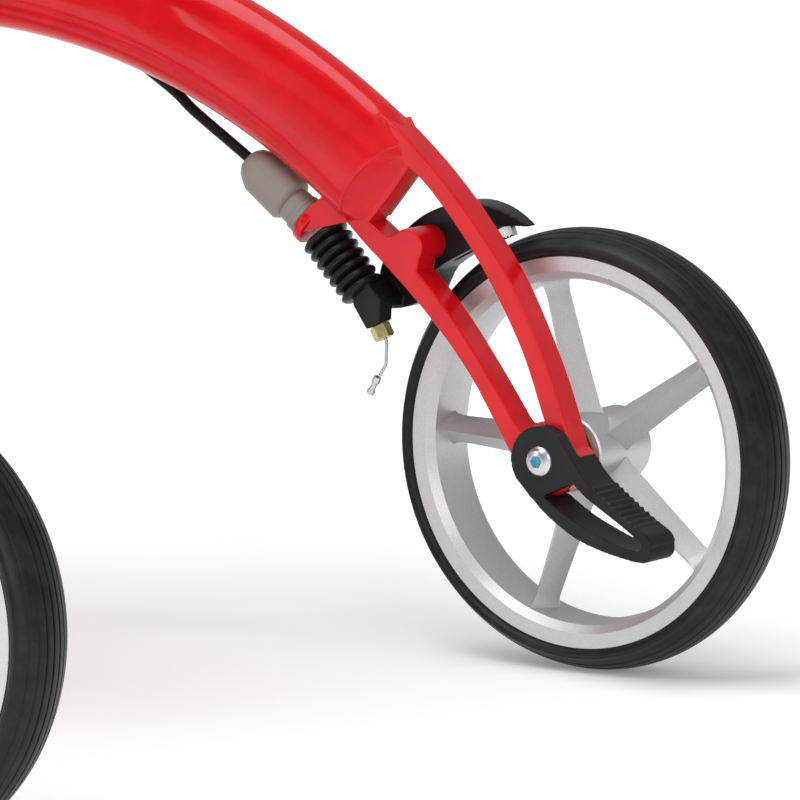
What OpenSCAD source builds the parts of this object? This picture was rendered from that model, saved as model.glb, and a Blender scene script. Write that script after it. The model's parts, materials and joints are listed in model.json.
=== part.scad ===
// Knee scooter with four wheels, two arched side frames, rear tyre brakes and a folding steering column.
// Row frame: +X forward, +Y left, +Z up, origin on the ground midway between the axles.

/* [Layout] */
// Distance between the front and the rear axle
wheelbase = 560; // [500:10:680]
// Distance between the middle planes of the rear wheels
rear_track = 538; // [460:1:650]
// Distance between the middle planes of the front wheels
front_track = 220; // [184:1:270]
// Lean of the steering axis behind the vertical, in degrees
rake = 8; // [4:0.5:12]

/* [Wheels] */
// Outside diameter of each tyre
wheel_d = 200; // [166:1:240]
// Width of each tyre at its widest
tyre_w = 36; // [30:1:40]
// Diameter of the visible edge between tyre and rim
rim_d = 178.5; // [146:0.5:216]
// Width of the rim across its two flat faces
rim_w = 31.6; // [27:0.2:34]
// Width of the flat ring on each face of the rim
rim_ring = 8.2; // [5:0.2:12]
// Radius of the hub barrel
hub_r = 17.3; // [15:0.1:22]
// Length of the hub, face to face
hub_len = 41; // [38:1:48]
// Number of spokes
spoke_count = 5; // [3:1:8]
// Direction of the first spoke, in degrees forward from straight up
spoke_turn = 16; // [0:1:72]
// Diameter of the axle bolts
axle_d = 10; // [8:0.5:12]

/* [Rear forks] */
// Thickness of the fork casting
fork_t = 14.5; // [12:0.5:18]
// Radius of the fork end round the axle
fork_end_r = 16.5; // [14:0.5:20]
// Radius of the boss that carries the brake arm
brake_boss_r = 8; // [7:0.5:9.5]
// Gap between the brake shoe and the tyre at rest
shoe_gap = 1.6; // [1:0.1:3]

/* [Arched side tubes] */
// Radius of the arch in side view
arch_r = 380; // [320:5:456]
// Width of the arch tube
arch_w = 34; // [29:1:41]
// Height of the arch tube
arch_h = 55; // [46:1:66]
// Wall of the arch tube
arch_wall = 2.5; // [2:0.1:4]

/* [Knee rest] */
// Length of the cushion
pad_l = 350; // [292:5:420]
// Width of the cushion
pad_w = 180; // [150:5:216]
// Thickness of the cushion
pad_t = 62; // [52:1:74]
// Height of the top of the cushion above the ground
pad_top = 452; // [440:1:475]
// Outside diameter of the knee post
post_d = 31.8; // [27:0.1:38]

/* [Steering column] */
// Outside diameter of the steerer tube
steerer_d = 28.6; // [24:0.1:34]
// Outside diameter of the folding column tube
column_d = 38; // [36:0.5:45]
// Height of the fold joint above the front axle, along the column
fold_h = 444; // [430:1:532]
// Height of the handlebar above the front axle, along the column
bar_h = 812; // [780:1:974]
// Length of the handlebar from end to end
bar_len = 510; // [425:5:612]
// Outside diameter of the handlebar
bar_d = 25.4; // [22:0.1:30]

/* [Cables] */
// Outside diameter of the brake cable housing
cable_d = 5; // [4:0.1:5.6]

/* [Hidden] */

$fn = 64;
tiny = 0.02;
play = 0.05;
clear = 0.3;
wheel_r = wheel_d / 2;
rim_r = rim_d / 2;
rim_in_r = rim_r - rim_ring;
barrel_wall = 3;
rear_x = -wheelbase / 2;
wheel_y = rear_track / 2;

// Fork plate between the wheel and the middle of the scooter
tyre_gap = 4.5;
crown_out = 4.5;
fork_out = wheel_y - tyre_w / 2 - tyre_gap;
fork_in = fork_out - fork_t;
fork_mid = (fork_in + fork_out) / 2;
lever_plate = 7;
lever_w = 19.5;
bolt_head = 3.2;

// Everything above the wheel moves out with the tyre, in this direction
grow = wheel_r - 100;
grow_dir = 76;
lift = [grow * cos(grow_dir), grow * sin(grow_dir)];
function lifted(p) = p + lift * min(1, max(0, (norm(p) - 28) / 62));
function all_lifted(pts) = [for (p = pts) lifted(p)];

// Places in the fork plane, forward of and above the rear axle
brake_pivot = [77, 89.5] + lift;
lug_c = [132, 93.5] + lift;
lug_angle = 37;
lug_r = 10.5;
lug_t = 5;
adjuster_len = 29.5;
adjuster_r = 11;
neck_len = 11;
neck_r = 8.4;
anchor_c = [105.5, 58.5] + lift;
housing_exit = [217, 153] + lift;
bellows_top = lug_c + [-3.6, -3.6];
bellows_foot = anchor_c + [1.6, 8.2];
bellows_angle = atan2(bellows_foot[1] - bellows_top[1], bellows_foot[0] - bellows_top[0]);
arm_in = wheel_y - 17;
arm_out = wheel_y + 3;

// Arch path in side view: an arc, then a sweep in to the head lug
arch_c = [326.7, 198.5 - arch_r] + lift;
arch_start = 35.5;
head_z = 205 + lift[1];
head_end = [wheelbase - 60, 32, head_z - 2];
sweep_a = [arch_c[0], fork_mid, arch_c[1] + arch_r];
sweep_b = sweep_a + [103, 0, 0];
sweep_c = head_end + [-66, 112, 0];
arc_steps = 12;
sweep_steps = 18;
arch_sides = 24;

head_r = 23;
head_len = 104;
bearing_r = 18.5;
bearing_t = 11;
head_low = head_z / cos(rake) - head_len / 2;
bracket_off = 36;
bracket_hole = 5.5;
bracket_pitch = 40;

bridge_x = 352;
bridge_r = 19;
socket_r = 23;
socket_low = 168 + lift[1];
socket_top = 246 + lift[1];
pad_board = 5;
post_top = pad_top - pad_t - pad_board - wheel_r;
post_low = 145 + lift[1];
pad_x = 272;

front_gap = 3;
beam_half = front_track / 2 - hub_len / 2 - front_gap;
beam_r = 17;
fork_post_r = 21;
steerer_wall = 3;
steerer_low = 60;
lower_base = head_low + head_len + 4;
steerer_top = lower_base + 62;
column_r = column_d / 2;
knuckle_r = 11;
pin_r = 4;
hinge_x = -(column_r + knuckle_r + 3);
ear_in = 9;
ear_out = 17;
column_top = fold_h + 262;
stem_d = 31.8;
stem_r = stem_d / 2;
stem_low = fold_h + 108;
bar_r = bar_d / 2;
grip_len = 125;
grip_r = 16.5;
bracket_y = bar_len / 2 - grip_len - 14;
lever_x = 34;
lever_y = bracket_y - 4;
cable_r = cable_d / 2;
clip_x = column_r + 5;
clip_y = 8;
upper_clip_z = column_top - 46;
lower_clip_z = lower_base + 50;
seam_x = hinge_x + 8;
seam_y = ear_out + 8;

// ---------------------------------------------------------------- curves

function unit(v) = v / norm(v);
function bezier(a, b, c, d, t) =
    a * pow(1 - t, 3) + b * 3 * t * pow(1 - t, 2) + c * 3 * t * t * (1 - t) + d * pow(t, 3);
function bend(a, b, c, d, t) =
    0.5 * (2 * b + (c - a) * t + (2 * a - 5 * b + 4 * c - d) * t * t + (3 * b - a - 3 * c + d) * t * t * t);

// A smooth line through the points, with a number of steps to each stretch
function smooth(pts, steps) =
    let (n = len(pts))
    concat(
        [for (i = [0 : n - 2], k = [0 : steps - 1])
            bend(i > 0 ? pts[i - 1] : 2 * pts[0] - pts[1], pts[i], pts[i + 1],
                 i < n - 2 ? pts[i + 2] : 2 * pts[n - 1] - pts[n - 2], k / steps)],
        [pts[n - 1]]);

function arc(c, r, from, to, steps) =
    [for (i = [0 : steps]) let (a = from + (to - from) * i / steps) c + r * [cos(a), sin(a)]];

// The middle of the arch tube: k = 0 at the fork, 1 at the head lug
function arch_point(i) =
    i <= arc_steps
        ? let (a = arch_start * (1 - i / arc_steps))
          [arch_c[0] - arch_r * sin(a), fork_mid, arch_c[1] + arch_r * cos(a)]
        : bezier(sweep_a, sweep_b, sweep_c, head_end, (i - arc_steps) / sweep_steps);
arch_end = arc_steps + sweep_steps;
function arch_dir(i) =
    unit(arch_point(min(arch_end, i + 0.2)) - arch_point(max(0, i - 0.2)));

arch_slope = atan2(arch_dir(0)[2], arch_dir(0)[0]);

// One ring of the arch tube, drawn in by a wall: narrower at its top than at its foot
function arch_ring(i, wall) =
    let (d = arch_dir(i),
         side = unit(cross([0, 0, 1], d)),
         up = cross(d, side),
         k = i / arch_end,
         w = arch_w - 2 * wall - 4 * k,
         h = arch_h - 2 * wall - 9 * k)
    [for (s = [0 : arch_sides - 1])
        let (a = 360 * s / arch_sides,
             q = sign(sin(a)) * pow(abs(sin(a)), 0.8),
             p = sign(cos(a)) * pow(abs(cos(a)), 0.8) * (1 - (0.16 - 0.1 * k) * (1 + q)))
        arch_point(i) + side * p * w / 2 + up * q * h / 2];

// Inner wall of the arch at the bridge, and the angle at which it sweeps in there
arch_in_y = fork_mid - arch_w / 2 - 3;
arch_sweep = 10;
bridge_wall = 3;

// ---------------------------------------------------------------- solids from rings

function ring_faces(n, rings) =
    [for (i = [0 : rings - 2], s = [0 : n - 1])
        [i * n + s, (i + 1) * n + s, (i + 1) * n + (s + 1) % n, i * n + (s + 1) % n]];

module skin(rings) {
    n = len(rings[0]);
    last = (len(rings) - 1) * n;
    polyhedron(
        points = [for (r = rings, p = r) p],
        faces = concat(
            [[for (s = [0 : n - 1]) s]],
            ring_faces(n, len(rings)),
            [[for (s = [n - 1 : -1 : 0]) last + s]]));
}

// A tube whose bore is open at both ends
module hollow_skin(outer, inner) {
    n = len(outer[0]);
    m = len(outer);
    core = n * m;
    last = (m - 1) * n;
    polyhedron(
        points = concat([for (r = outer, p = r) p], [for (r = inner, p = r) p]),
        faces = concat(
            ring_faces(n, m),
            [for (f = ring_faces(n, m)) [f[3] + core, f[2] + core, f[1] + core, f[0] + core]],
            [for (s = [0 : n - 1]) [(s + 1) % n, core + (s + 1) % n, core + s, s]],
            [for (s = [0 : n - 1])
                [last + s, core + last + s, core + last + (s + 1) % n, last + (s + 1) % n]]));
}

// A round tube of one radius along a line of points
module tube_along(pts, r, sides, ref) {
    n = len(pts);
    skin([for (i = [0 : n - 1])
        let (d = unit(pts[min(n - 1, i + 1)] - pts[max(0, i - 1)]),
             side = unit(cross(ref, d)),
             up = cross(d, side))
        [for (s = [0 : sides - 1])
            let (a = 360 * s / sides) pts[i] + r * (cos(a) * side + sin(a) * up)]]);
}

// A flat outline in side view, from one distance outboard to another
module plate(pts, low, high) {
    translate([0, high, 0]) rotate([90, 0, 0]) linear_extrude(high - low) polygon(pts);
}

// A rod across the scooter at a place in side view
module cross_rod(p, r, low, high) {
    translate([p[0], low, p[1]]) rotate([-90, 0, 0]) cylinder(h = high - low, r = r);
}

// A length of rod in side view, from a point, along an angle above forward
module side_rod(p, angle, r, length, y) {
    translate([p[0], y, p[1]]) rotate([0, 90 - angle, 0]) cylinder(h = length, r = r);
}

// ---------------------------------------------------------------- frames of reference

// Side parts are drawn on the left, forward of and above the rear axle
module rear_side(s) {
    translate([rear_x, 0, wheel_r]) mirror([0, s < 0 ? 1 : 0, 0]) children();
}

// Steered parts are drawn upright above the front axle, then leaned back
module steer_frame() {
    translate([wheelbase / 2, 0, wheel_r]) rotate([0, -rake, 0]) children();
}

function steered(p) = [
    wheelbase / 2 + p[0] * cos(rake) - p[2] * sin(rake),
    p[1],
    wheel_r + p[0] * sin(rake) + p[2] * cos(rake)];

module both() {
    children();
    mirror([0, 1, 0]) children();
}

module wheel_axis(y) {
    translate([0, y, 0]) rotate([-90, 0, 0]) children();
}

// ---------------------------------------------------------------- wheels

module tyre() {
    seat = rim_r - 5;
    half = tyre_w / 2;
    crown = 24.5;
    shoulder_y = half - 2.2;
    shoulder_r = wheel_r - crown + sqrt(crown * crown - shoulder_y * shoulder_y);
    color([0.07, 0.07, 0.07]) rotate_extrude($fn = 128) polygon(concat(
        [[seat, -rim_w / 2 + 3], [seat + 5, -rim_w / 2], [rim_r + 1, -half + 0.6]],
        [[shoulder_r - 3, -half]],
        [for (i = [-8 : 8])
            let (y = shoulder_y * i / 8, groove = abs(i) % 3 == 1 && abs(i) < 6 ? 0.9 : 0)
            [wheel_r - crown + sqrt(crown * crown - y * y) - groove, y]],
        [[shoulder_r - 3, half]],
        [[rim_r + 1, half - 0.6], [seat + 5, rim_w / 2], [seat, rim_w / 2 - 3]]));
}

module spoke() {
    reach = rim_in_r - barrel_wall + 0.8;
    root = 9.5;
    w0 = 9;
    w1 = 6;
    d0 = 12;
    d1 = 9;
    polyhedron(
        points = [
            [root, -w0, 0], [root, 0, -d0], [root, w0, 0], [root, 0, d0],
            [reach, -w1, 0], [reach, 0, -d1], [reach, w1, 0], [reach, 0, d1]],
        faces = [[0, 1, 2, 3], [7, 6, 5, 4], [4, 5, 1, 0], [5, 6, 2, 1], [6, 7, 3, 2], [7, 4, 0, 3]]);
}

module rim() {
    seat = rim_r - 5;
    half = rim_w / 2;
    barrel = rim_in_r - barrel_wall;
    color([0.75, 0.76, 0.78]) difference() {
        union() {
            rotate_extrude($fn = 128) polygon([
                [barrel, -half + 3], [rim_in_r, -half], [rim_r, -half],
                [seat + 5 - play, -half], [seat - play, -half + 3], [seat - play, half - 3],
                [seat + 5 - play, half], [rim_in_r, half], [barrel, half - 3], [barrel - 1.5, 0]]);
            for (i = [0 : spoke_count - 1]) rotate([0, 0, 360 * i / spoke_count]) spoke();
            cylinder(h = hub_len, r = hub_r, center = true);
        }
        cylinder(h = hub_len + 2, r = axle_d / 2 + 2, center = true);
        for (s = [-1, 1]) translate([0, 0, s * hub_len / 2]) cylinder(h = 16, r = 13, center = true);
    }
}

module bearings() {
    color([0.7, 0.7, 0.72]) for (s = [-1, 1]) translate([0, 0, s * (hub_len / 2 - 4)]) difference() {
        cylinder(h = 8 - tiny, r = 13, center = true);
        cylinder(h = 10, r = axle_d / 2 + play, center = true);
    }
}

module rear_wheel_place(s) {
    rear_side(s) wheel_axis(wheel_y) rotate([0, 0, -90 + spoke_turn]) children();
}

module front_wheel_place(s) {
    steer_frame() mirror([0, s < 0 ? 1 : 0, 0]) wheel_axis(front_track / 2) rotate([0, 0, -90]) children();
}

module button_head(r, h) {
    difference() {
        rotate_extrude() polygon(concat([[0, 0], [r, 0]],
            [for (i = [1 : 6]) let (a = 15 * i) [r * cos(a) * (i < 6 ? 1 : 0), h * sin(a)]]));
        translate([0, 0, h - 2]) cylinder(h = 3, r = r * 0.42, $fn = 6);
    }
}

module rear_axle_bolt(s) {
    head_y = fork_in - lever_plate;
    end_y = wheel_y + hub_len / 2 + 4;
    color([0.72, 0.74, 0.76]) rear_side(s) {
        difference() {
            cross_rod([0, 0], axle_d / 2, head_y - 1, end_y);
            cross_rod([0, 0], 1, end_y - 3, end_y + 1);
        }
        translate([0, head_y - tiny, 0]) rotate([90, 0, 0]) button_head(6.8, bolt_head);
        difference() {
            cross_rod([0, 0], hub_r - 6.5, wheel_y + hub_len / 2 + 0.5, end_y - 0.4);
            cross_rod([0, 0], axle_d / 2, wheel_y, end_y + 1);
        }
    }
}

// ---------------------------------------------------------------- rear forks

// Outer outline of the fork: front edge up from the axle, then the ridge back down
front_edge = [[20.8, 1], [30, 15.3], [40, 30.4], [50, 42.8], [60, 53.6], [70, 63.4], [80, 72.2],
              [90, 80.6], [100, 88.6], [110, 97.6]];
ridge = [[92, 149.4], [80, 140.6], [60, 123.5], [40, 102.5], [20, 76.8], [0, 38.3], [-12.5, 5]];
inner_front = [[72, 78.6], [60, 67.2], [50, 56.3], [40, 44], [30, 30.9], [18.5, 15]];
inner_rear = [[76.2, 125], [66.2, 117.7], [50, 100.5], [33.6, 79.3], [14.9, 48.1], [2.1, 15.9]];

module fork_crown() {
    end = arch_ring(0, 0);
    inner_end = arch_ring(-0.02, 0);
    hull() {
        skin([inner_end, end]);
        plate(all_lifted([[109, 98], [99, 100], [77.4, 126], [93, 148.6]]), fork_in + 0.4, fork_out + crown_out);
    }
}

module cable_lug() {
    hull() {
        side_rod(lug_c, lug_angle, lug_r, lug_t, fork_mid, $fn = 32);
        plate(all_lifted([[108, 99], [122, 110], [117, 113], [106, 103]]), fork_in + 1, fork_out - 1);
    }
}

module rear_fork(s) {
    color([0.8, 0.06, 0.07]) rear_side(s) difference() {
        union() {
            plate(concat(
                [[16.2, -3]],
                all_lifted(smooth(front_edge, 2)),
                [lifted([124, 112]), lifted([104, 158])],
                all_lifted(smooth(ridge, 3)),
                [[-16.3, 2.4]]), fork_in, fork_out);
            cross_rod([0, 0], fork_end_r, fork_in, fork_out);
            cross_rod(brake_pivot, brake_boss_r, fork_in, arm_in - clear);
            fork_crown();
            cable_lug();
        }
        // Window between the legs
        plate(concat(
            all_lifted(smooth(inner_front, 3)),
            arc([0, 0], fork_end_r + 0.5, 38, 80, 4),
            [for (i = [0 : 5]) lifted(inner_rear[5 - i])],
            all_lifted([[86, 112.5], [98, 99], [88.6, 92.6]]),
            arc(brake_pivot, brake_boss_r, 40, 220, 8)), fork_in - 30, fork_out + 30);
        cross_rod([0, 0], axle_d / 2 + play, fork_in - 1, fork_out + 1);
        cross_rod(brake_pivot, 3 + play, fork_in + 3 - clear, arm_in);
        side_rod(lug_c - 2 * [cos(lug_angle), sin(lug_angle)], lug_angle, 4, lug_t + 6, fork_mid);
        // The arch tube starts at this plane
        translate([arch_point(0)[0], fork_mid, arch_point(0)[2]]) rotate([0, -arch_slope, 0])
            translate([0, -arch_w, -arch_h / 2 - 0.6]) cube([60, 2 * arch_w, arch_h + 20]);
        // Room for the bellows under the lug
        side_rod(bellows_top, bellows_angle, 10.9, 34, fork_mid);
    }
}

module arch_tube(s) {
    color([0.8, 0.06, 0.07]) rear_side(s) difference() {
        hollow_skin(
            [for (i = [0 : arch_end]) arch_ring(i, 0)],
            [for (i = [0 : arch_end]) arch_ring(i, arch_wall)]);
        // The cable housing goes in through this hole
        side_rod(housing_exit - [12, 7], 29, cable_r + 1, 48, fork_mid);
    }
}

// ---------------------------------------------------------------- tip levers

lever_low = [[13.3, -8.3], [5.6, -16], [-5, -25], [-20, -33.5], [-35, -38], [-50, -40.7]];
lever_top = [[-60, -32.5], [-58, -29], [-54, -26.4], [-45, -21.5], [-35, -14.5], [-25, -7], [-17, 2.5],
             [-10, 12]];
slot_top = [[-17.5, -8.5], [-25, -14.5], [-35, -20.3], [-45, -26], [-51, -30]];
slot_low = [[-50, -35.8], [-44, -34.9], [-35, -32.4], [-20, -26.5], [-10, -21.2], [-1.5, -15.7]];
rib_count = 11;

module tip_lever(s) {
    in = fork_in - lever_plate;
    outline = concat(smooth(lever_low, 3), arc([-54.8, -35.8], 5.2, 265, 155, 5), smooth(lever_top, 3),
        arc([0, 0], 15.6, 128, -30, 24));
    color([0.06, 0.06, 0.065]) rear_side(s) difference() {
        union() {
            plate(outline, in, in + lever_w);
            for (i = [0 : rib_count - 1])
                cross_rod([-29 - 2.75 * i, -10.4 - 1.9 * i], 1.1, in + 0.5, in + lever_w - 0.5, $fn = 16);
        }
        plate(concat(smooth(slot_top, 3), arc([-52, -33.2], 2.6, 105, 265, 5), smooth(slot_low, 3)),
            in - 1, in + lever_w + 1);
        // Room for the fork end and the rear leg
        cross_rod([0, 0], fork_end_r + clear, fork_in, in + lever_w + 1);
        plate([[-12, 3], [-40, 22], [0, 40], [30, 10], [18, -2]], fork_in, in + lever_w + 1);
        cross_rod([0, 0], axle_d / 2 + play, in - 1, fork_in + 1);
    }
}

// ---------------------------------------------------------------- brakes

arm_top = [[28, 100.4], [35, 104], [43, 107], [51, 108.5], [58, 108.8], [66, 107.6], [74, 105],
           [83, 100.6], [91.4, 94.2], [98, 88], [103, 81], [106, 74], [107, 66]];
arm_low = [[103, 57], [95, 57.6], [85, 61.2], [80, 69], [75.6, 76.6], [66, 82.6], [56, 88], [50, 93.2],
           [45, 97.6], [36, 99.4], [28, 99.6]];
shoe_dir = 66;

module brake_arm(s) {
    color([0.05, 0.05, 0.055]) rear_side(s) difference() {
        union() {
            plate(all_lifted(concat(smooth(arm_top, 2), smooth(arm_low, 2))), arm_in, arm_out);
            // Anchor block in the plane of the cable
            plate([for (p = [[3, 9], [2.6, 1.5], [-4.7, -8.9], [-11.5, -4.98], [-12.4, 5.3], [-4.5, 12.9]])
                anchor_c + p], fork_mid - 5.2, fork_mid + 5.2);
            plate([for (p = [[-1, 9], [-7.5, 1], [-12, 0.8], [-12.4, 5.3], [-4.5, 12.9]])
                anchor_c + p], fork_mid + 5, arm_in + 2);
        }
        // The cover narrows to a blunt tip
        translate([0, 0, 80]) linear_extrude(60) polygon([[20, arm_out - 11], [28, arm_out - 9.5],
            [40, arm_out - 6.5], [58, arm_out - 3.5], [75, arm_out + 1], [20, arm_out + 1]]);
        translate([0, 0, 80]) linear_extrude(60) polygon([[20, arm_in + 5], [28, arm_in + 4], [40, arm_in + 2.2],
            [58, arm_in - 1], [20, arm_in - 1]]);
        // The cover is open underneath
        plate(all_lifted([[30, 90], [34, 100.6], [43, 103.6], [51, 105.2], [58, 105.4], [66, 104.2], [70, 80],
            [50, 80]]), arm_in + 5.5, arm_out - 11);
        plate(all_lifted([[90, 84], [98, 78], [101, 68], [98, 62], [88, 66]]), arm_in + 4, arm_out + 1);
        cross_rod(brake_pivot, 3 + play, arm_in - 1, arm_out + 1);
        // Seat for the foot of the bellows, and the way for the inner wire
        side_rod(bellows_top, bellows_angle, 10.9, norm(bellows_foot - bellows_top) + 0.3, fork_mid);
        side_rod(anchor_c - 12 * [cos(56), sin(56)], 56, 1.3, 30, fork_mid);
    }
}

module brake_shoe(s) {
    r = wheel_r + shoe_gap;
    teeth = 5;
    color([0.7, 0.72, 0.75]) rear_side(s) {
        plate(concat(
            [for (i = [0 : 2 * teeth])
                let (a = shoe_dir - 3 + 6 * i / (2 * teeth))
                (r + (i % 2 == 0 ? 0 : 1)) * [cos(a), sin(a)]],
            [(r + 5.4) * [cos(shoe_dir + 3), sin(shoe_dir + 3)],
             (r + 5.4) * [cos(shoe_dir - 3), sin(shoe_dir - 3)]]), arm_in + 5.5, arm_out - 11);
        cross_rod((r + 3) * [cos(shoe_dir - 4.6), sin(shoe_dir - 4.6)], 2, arm_in + 5.5, arm_out - 11, $fn = 24);
    }
}

module brake_pivot_bolt(s) {
    color([0.72, 0.74, 0.76]) rear_side(s) {
        cross_rod(brake_pivot, 3, fork_in + 3, arm_out + 2 * tiny);
        translate([brake_pivot[0], arm_out + tiny, brake_pivot[1]]) rotate([-90, 0, 0]) button_head(5.5, 3);
    }
}

folds = 8;

module brake_bellows(s) {
    run = bellows_foot - bellows_top;
    length = norm(run);
    tilt = atan2(run[0], run[1]);
    color([0.04, 0.04, 0.045]) rear_side(s)
    translate([bellows_top[0], fork_mid, bellows_top[1]]) rotate([0, tilt, 0]) rotate_extrude($fn = 48)
        polygon(concat(
            [[1.2, 0.4]],
            [for (i = [0 : 2 * folds])
                [(i % 2 == 0 ? 7.2 : 10.4) - 0.06 * i, 0.4 + (length - 1) * i / (2 * folds)]],
            [[1.2, length - 0.6]]));
}

module cable_adjuster(s) {
    along = [cos(lug_angle), sin(lug_angle)];
    neck = lug_c + along * lug_t;
    body = neck + along * neck_len;
    tail = body + along * adjuster_len;
    color([0.55, 0.52, 0.48]) rear_side(s) difference() {
        union() {
            side_rod(neck, lug_angle, neck_r, neck_len + tiny, fork_mid);
            side_rod(neck, lug_angle, neck_r + 1, 3, fork_mid);
            side_rod(body, lug_angle, adjuster_r, adjuster_len - 6, fork_mid);
            translate([body[0], fork_mid, body[1]]) rotate([0, 90 - lug_angle, 0])
                translate([0, 0, adjuster_len - 6]) cylinder(h = 6, r1 = adjuster_r, r2 = 5.5);
        }
        side_rod(neck - along, lug_angle, cable_r - 1 + clear, 60, fork_mid);
        side_rod(tail - 12 * along, lug_angle, cable_r + clear, 20, fork_mid);
    }
}

module cable_end(s) {
    pull = [cos(60), sin(60)];
    nut = anchor_c + [-8.105, -6.946];
    color([0.75, 0.68, 0.4]) rear_side(s) {
        difference() {
            side_rod(nut - 7 * pull, 60, 4.8, 7, fork_mid, $fn = 6);
            side_rod(nut - 9 * pull, 60, 1, 12, fork_mid, $fn = 16);
        }
        tube_along([for (p = smooth([nut - 1 * pull, nut - 8 * pull, nut + [-4, -13], nut + [-3.6, -18],
            nut + [-0.6, -23]], 3)) [p[0], fork_mid, p[1]]], 0.8, 8, [0, 1, 0]);
        side_rod(nut + [5, -32], 119, 1.9, 9.6, fork_mid);
    }
}

// The housing runs from the adjuster, through the hole under the arch, to the head lug
function arch_core(i, up) = arch_point(i) + [0, 0, up];
module cable_housing(s) {
    along = [cos(lug_angle), sin(lug_angle)];
    tail = lug_c + along * (lug_t + neck_len + adjuster_len - 11.5);
    low = [for (p = [tail, tail + 14 * along, housing_exit - [18, 12.6], housing_exit]) [p[0], fork_mid, p[1]]];
    inside = concat([for (i = [9 : 3 : 27]) arch_core(i, i < 10 ? -14 : -6)], [arch_core(arch_end - 1, -2)]);
    color([0.03, 0.03, 0.03]) rear_side(s)
        tube_along(smooth(concat(low, inside), 3), cable_r, 8, [0, 0.02, 1]);
}

// ---------------------------------------------------------------- frame centre

module head_lug() {
    head_c = head_low + head_len / 2;
    color([0.8, 0.06, 0.07]) difference() {
        union() {
            hull() {
                for (s = [-1, 1]) rear_side(s) skin([arch_ring(arch_end + 0.01, 0), arch_ring(arch_end + 0.03, 0)]);
                steer_frame() translate([0, 0, head_c - 36]) cylinder(h = 72, r = head_r - 3, $fn = 32);
            }
            steer_frame() translate([0, 0, head_low]) cylinder(h = head_len, r = head_r);
            // Plate that takes a basket
            translate([wheelbase / 2, 0, wheel_r + head_z]) {
                translate([-4, -14, -14]) cube([bracket_off - 22, 28, 28]);
                translate([bracket_off - 32, -30, -30]) cube([5, 60, 60]);
            }
        }
        steer_frame() translate([0, 0, head_low - 1]) cylinder(h = head_len + 2, r = steerer_d / 2 + 1.5);
        steer_frame() for (z = [head_low - 1, head_low + head_len - bearing_t + 3])
            translate([0, 0, z]) cylinder(h = bearing_t - 2, r = bearing_r);
        for (y = [-1, 1], z = [-1, 1])
            translate([wheelbase / 2, y * bracket_pitch / 2, wheel_r + head_z + z * bracket_pitch / 2])
                rotate([0, 90, 0]) cylinder(h = 40, r = bracket_hole / 2, center = true);
        // Cable entries on the top of each arm
        for (s = [-1, 1]) rear_side(s) translate(head_entry)
            cylinder(h = 60, r = cable_r + 2 * clear, center = true);
    }
}
head_entry = head_end + [8, -4, 8];

module headset_bearings() {
    color([0.6, 0.6, 0.62]) steer_frame()
        for (z = [head_low, head_low + head_len - bearing_t + 3]) translate([0, 0, z]) difference() {
            cylinder(h = bearing_t - 3, r = bearing_r - tiny);
            translate([0, 0, -1]) cylinder(h = bearing_t, r = steerer_d / 2 + play);
        }
}

module frame_bridge() {
    color([0.8, 0.06, 0.07]) translate([rear_x + bridge_x, 0, wheel_r]) difference() {
        union() {
            difference() {
                translate([0, 0, head_z - 7]) rotate([90, 0, 0])
                    cylinder(h = 2 * arch_in_y + 10, r = bridge_r, center = true);
                translate([0, 0, head_z - 7]) rotate([90, 0, 0])
                    cylinder(h = 2 * arch_in_y + 12, r = bridge_r - bridge_wall, center = true);
                // The ends are cut to the sweep of the arch
                both() translate([0, arch_in_y - clear, head_z - 40]) rotate([0, 0, -arch_sweep])
                    translate([-60, 0, 0]) cube([120, 40, 80]);
            }
            translate([0, 0, socket_low]) cylinder(h = socket_top - socket_low, r = socket_r);
            translate([0, 0, socket_top - 22]) rotate([0, 90, 0]) cylinder(h = socket_r + 12, r = 9);
        }
        translate([0, 0, socket_low - 1]) cylinder(h = socket_top - socket_low + 2, r = post_d / 2 + play);
        translate([0, 0, socket_top - 22]) rotate([0, 90, 0]) cylinder(h = 60, r = 4 + play);
    }
}

// ---------------------------------------------------------------- knee rest

module knee_post() {
    color([0.75, 0.76, 0.78]) translate([rear_x + bridge_x, 0, wheel_r]) difference() {
        translate([0, 0, post_low]) cylinder(h = post_top - post_low, r = post_d / 2);
        translate([0, 0, post_low - 1]) cylinder(h = post_top - post_low - 8, r = post_d / 2 - 2.5);
    }
}

module knee_post_knob() {
    color([0.05, 0.05, 0.05]) translate([rear_x + bridge_x, 0, wheel_r + socket_top - 22]) rotate([0, 90, 0]) {
        translate([0, 0, post_d / 2 + clear]) cylinder(h = socket_r + 14 - post_d / 2 - clear, r = 4);
        translate([0, 0, socket_r + 12.4]) difference() {
            cylinder(h = 16, r = 19);
            for (i = [0 : 5]) rotate([0, 0, 60 * i]) translate([22, 0, -1]) cylinder(h = 20, r = 7);
        }
    }
}

module pad_outline(l, w, r) {
    for (x = [-1, 1], y = [-1, 1]) translate([x * (l / 2 - r), y * (w / 2 - r)]) circle(r = r, $fn = 32);
}

module knee_plate() {
    base = wheel_r + post_top;
    color([0.08, 0.08, 0.09]) difference() {
        union() {
            translate([rear_x + pad_x, 0, base]) linear_extrude(pad_board)
                difference() {
                    square([pad_l - 60, pad_w - 40], center = true);
                }
            translate([rear_x + bridge_x, 0, base - 34]) cylinder(h = 34 + 1, r = post_d / 2 + 6);
            for (y = [-1, 1]) translate([rear_x + pad_x - 90, y * 26 - 3, base - 16]) cube([200, 6, 17]);
        }
        translate([rear_x + bridge_x, 0, base - 40]) cylinder(h = 40, r = post_d / 2);
    }
}

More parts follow.
